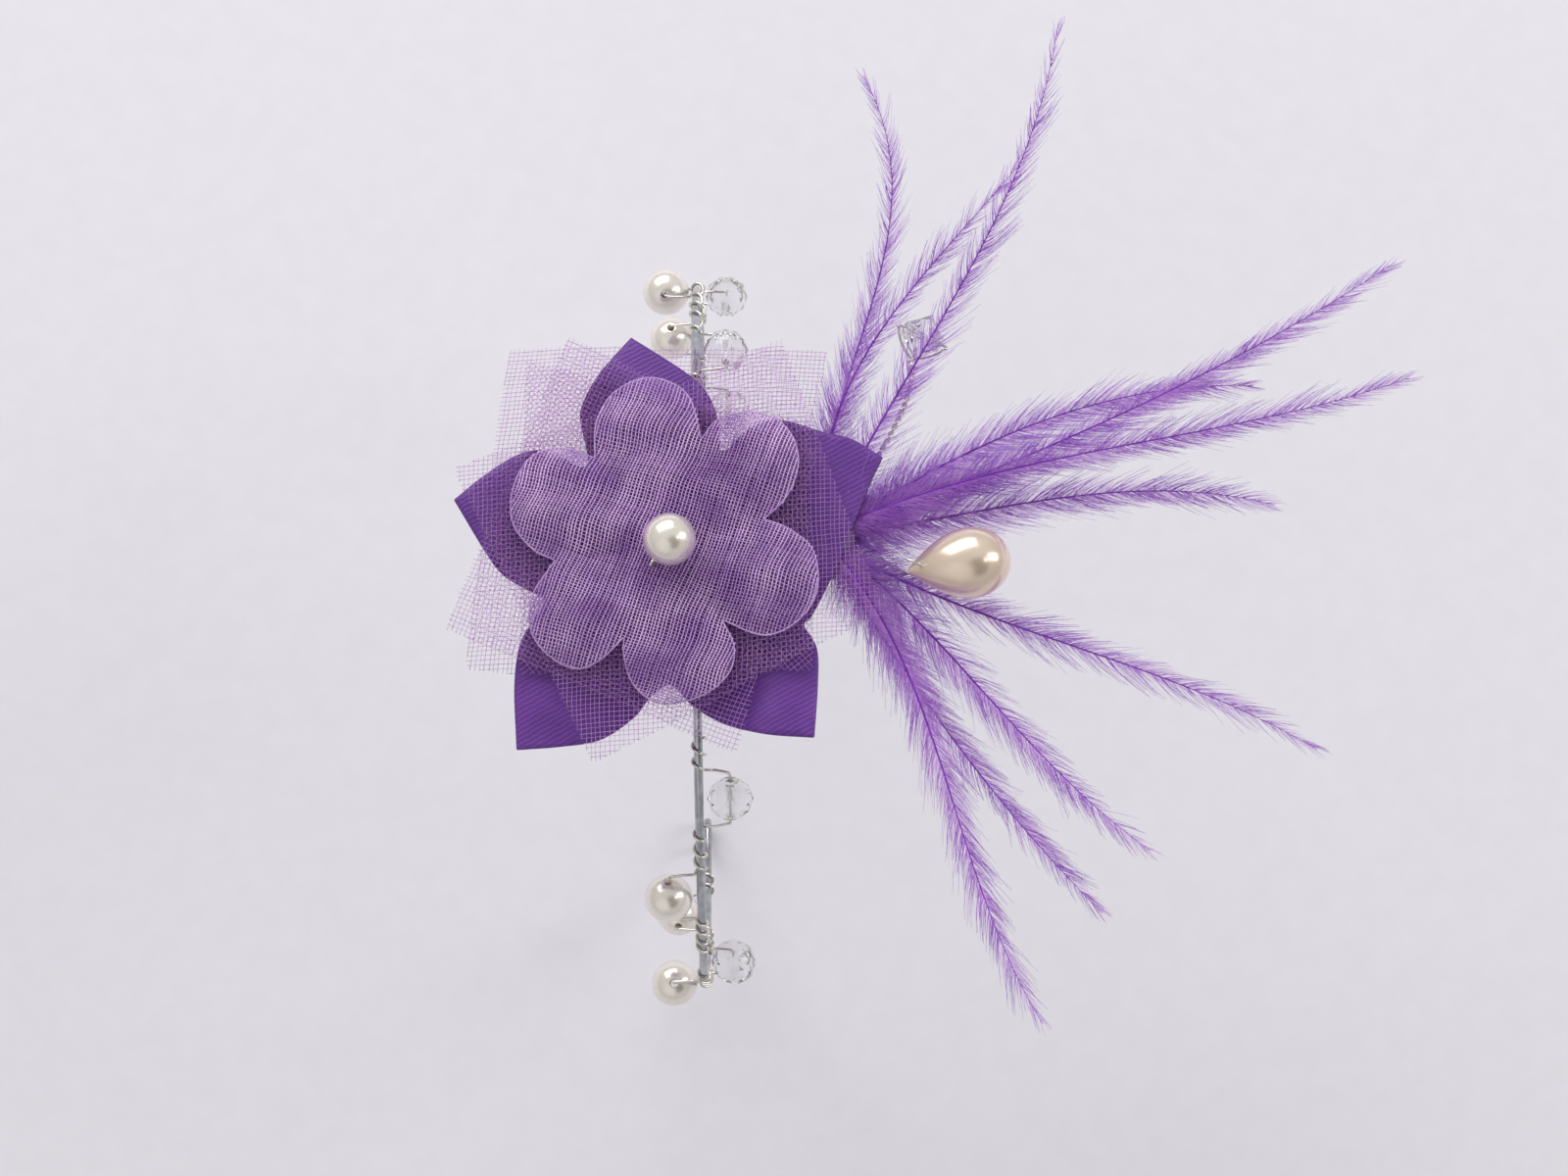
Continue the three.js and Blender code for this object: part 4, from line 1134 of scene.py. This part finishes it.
def make_drop():
    axis = np.array([*on_bearing((0, 0), DROP_BEARING, 1), 0])
    tip = np.array([*joint_place("drop_pearl")[:2], middle("drop_pearl")[2]]) - axis * DROP_HOLE_INSET
    blunt = 1 - WIDEST_SHARE
    share = np.concatenate([WIDEST_SHARE * (1 - np.cos(np.linspace(0, math.pi / 2, 34))),
                            WIDEST_SHARE + blunt * np.sin(np.linspace(0, math.pi / 2, 30)[1:])])
    swell = np.where(share < WIDEST_SHARE,
                     np.sin(np.minimum(share / WIDEST_SHARE, 1) * math.pi / 2) ** 0.95,
                     np.sqrt(np.maximum(0, 1 - ((share - WIDEST_SHARE) / blunt) ** 2)))
    angle = around(DROP_SEGMENTS)
    up = np.array([0, 0, 1.0])
    ring = np.cross(up, axis) * np.cos(angle)[:, None] + up * np.sin(angle)[:, None]
    widest = half("drop_pearl", 2)
    rings = [tip + axis * DROP_LENGTH * s + widest * max(w, TIP_SHARE) * ring for s, w in zip(share, swell)]
    placed("drop_bead", capped(np.array(rings)), drop_material, "drop_pearl", "drop_pearl", "drop_pearl")


def make_drop_stem():
    """Wire from the glue along the feathers, up through the drop pearl and over in a hook."""
    level = middle("drop_pearl")[2]
    top = level + HOOK_RISE
    foot = satin_base + feather_pitch * 0.5 + FEATHER_THICKNESS / 2
    run = joint_place("drop_pearl")[:2] - spray
    bearing = math.degrees(math.atan2(run[1], run[0]))
    reach = np.linalg.norm(run)
    # Distance back from the pearl's hole towards the glue, and height
    knots = [(reach - GLUE_RADIUS + STEM_SINK, foot), (reach / 3, foot), (1, foot), (0.25, foot + 0.25),
             (0, foot + 1), (0, level), (0, top), (0.25, top + 0.45), (0.8, top + 0.5), (1.3, top + 0.3)]
    path = [(*on_bearing(spray, bearing, reach - back), height) for back, height in knots]
    make_wire("drop_hook", spline(path, WIRE_STEPS), "drop_stem_wire")


def make_crystal_stem():
    """Two strands twisted together from the glue, opening in a loop through the crystal."""
    bead = joint_place("stem_crystal")
    across = unit(joints["stem_crystal"]["axis"])
    out = unit(np.cross(across, [0, 0, 1.0]))
    if out[1] < 0:
        out = -out
    ring = half("stem_crystal", 2) + REST_GAP / 2
    stem_height = satin_base + feather_pitch + FEATHER_THICKNESS / 2
    foot = bead - out * (ring + LOOP_REACH)
    root = np.array([*on_bearing(spray, STEM_ROOT_BEARING, GLUE_RADIUS - STEM_SINK), stem_height])
    reach = np.linalg.norm(foot[:2] - spray)
    heights = (stem_height, (stem_height + foot[2]) / 2)
    knees = [np.array([*on_bearing(spray, bearing, reach * share), height])
             for (bearing, share), height in zip(STEM_KNEES, heights)]
    line = bezier(root, *knees, foot, STEM_STEPS)
    along = unit(np.gradient(line, axis=0))
    side = unit(np.cross([0, 0, 1.0], along))
    up = np.cross(along, side)
    run = run_along(line)
    twist = 2 * math.pi * (run - run[-1]) / STEM_TWIST_PITCH
    strand = (FINE_WIRE / 2 + WIRE_CLEAR) * (side * np.cos(twist)[:, None] + up * np.sin(twist)[:, None])
    bend = np.linspace(math.pi / 2, 0, 7)[1:, None]
    bows = [bead - across * (hand * ring * np.cos(bend) ** 1.4) - out * (ring * np.sin(bend) ** 1.4)
            for hand in (1, -1)]
    loop = np.vstack([(line + strand)[-1], bows[0], bead, bows[1][::-1], (line - strand)[-1]])
    path = np.vstack([(line + strand)[:-1], spline(loop, LEAD_STEPS), (line - strand)[:-1][::-1]])
    make_wire("crystal_stem", path, "crystal_stem_wire")


# Building it all

make_cuff()
make_winding(-1, "front_winding", "front_wrap_wire", FRONT_WINDING_SEED)
make_winding(1, "back_winding", "back_wrap_wire", BACK_WINDING_SEED)
make_tie()
for arm in ("front", "back"):
    for number in (1, 2, 3):
        make_pearl(f"{arm}_round_pearl_{number}", f"{arm}_pearl_{number}")
        make_crystal(f"{arm}_cut_crystal_{number}", f"{arm}_crystal_{number}", ROUND_CUT_SHARES,
                     ROUND_CUT_SIDES)
make_pearl("flower_pearl", "centre_pearl")
make_crystal("stem_cut_crystal", "stem_crystal", BICONE_CUT_SHARES, BICONE_CUT_SIDES)

make_tulle("back", drooping_surface(tulle_back_base + TULLE_THICKNESS / 2))
make_pad()
make_satin()
lower = "satin_petals"
for square, base in (
        ("inner", tulle_inner_base), ("middle", tulle_middle_base), ("outer", tulle_outer_base)):
    surface = flower_surface(base + TULLE_THICKNESS / 2, SATIN_DROOP)
    lower = make_tulle(square, surface).name
make_organza()
make_glue()
for number, row in enumerate(FEATHER_SHARES, 1):
    make_feather(number, row)
make_drop()
make_drop_stem()
make_crystal_stem()


# Studio

FLOOR_REACH = 2000
FLOOR_DROP = 0.2
ROOM_STRENGTH = 0.59
ROOM_LOW = (0.8, 0.8, 0.82, 1)
ROOM_HIGH = (1.0, 1.0, 1.0, 1)
# Patches of the room, as azimuth, elevation, reach, fade and colour: the dark shape that leans over
# the table, the bright window beyond it and a soft glow behind
ROOM_PATCHES = [
    (146, 57, 26, 11, (0.16, 0.145, 0.11, 1)),
    (95, 52, 5, 2.5, (5, 5, 5, 1)),
    (212, 42, 26, 14, (1.3, 1.3, 1.3, 1)),
]


def make_floor():
    height = cad_box[0].z / MM - FLOOR_DROP
    points = [(x * FLOOR_REACH, y * FLOOR_REACH, height) for x, y in ((-1, -1), (1, -1), (1, 1), (-1, 1))]
    material = shader("pale floor", (232, 230, 236), 0.9, specular_ior_level=0.2)
    mottled(material, (231, 229, 235), (233, 231, 237), 400)
    mesh_object("floor", points, [np.array([[0, 1, 2, 3]])], material)


def make_light(name, place, size, energy):
    data = bpy.data.lights.new(name, "AREA")
    data.shape = "RECTANGLE"
    data.size, data.size_y = size
    data.energy = energy
    light = bpy.data.objects.new(name, data)
    light.location = place
    light.rotation_euler = (-Vector(place)).to_track_quat("-Z", "Y").to_euler()
    bpy.context.scene.collection.objects.link(light)


def leaning(azimuth, elevation):
    """Direction from an azimuth clockwise from the far side and an elevation, in degrees."""
    heading, height = math.radians(azimuth), math.radians(elevation)
    return (math.sin(heading) * math.cos(height), math.cos(heading) * math.cos(height), math.sin(height))


def patched(world, place, colour, azimuth, elevation, reach, fade, patch_colour):
    """World colour with a soft round patch of another colour in one direction."""
    dot = node(world, "VectorMath", "Value", operation="DOT_PRODUCT", Vector=place)
    dot.node.inputs[1].default_value = leaning(azimuth, elevation)
    outer, inner = (math.cos(math.radians(angle)) for angle in (reach + fade, reach - fade))
    edge = node(world, "MapRange", "Result", interpolation_type="SMOOTHSTEP", Value=dot, From_Min=outer,
                From_Max=inner)
    return node(world, "Mix", "Result", data_type="RGBA", Factor=edge, A=colour, B=patch_colour)


def make_world():
    """Pale room with its patches."""
    world = bpy.data.worlds.new("studio")
    bpy.context.scene.world = world
    world.use_nodes = True
    background = world.node_tree.nodes["Background"]
    background.inputs["Strength"].default_value = ROOM_STRENGTH
    place = node(world, "TexCoord", "Generated")
    height = node(world, "SeparateXYZ", "Z", Vector=place)
    colour = ramped(world, height, (0.0, ROOM_LOW), (0.5, ROOM_HIGH))
    for patch in ROOM_PATCHES:
        colour = patched(world, place, colour, *patch)
    link(world, colour, background.inputs["Color"])


make_floor()
make_light("window", (-0.18, 0.5, 0.42), (0.7, 0.4), 2.6)
make_light("side", (0.55, 0.08, 0.35), (0.2, 0.3), 0.8)
make_world()
bpy.context.scene.view_settings.view_transform = "Standard"
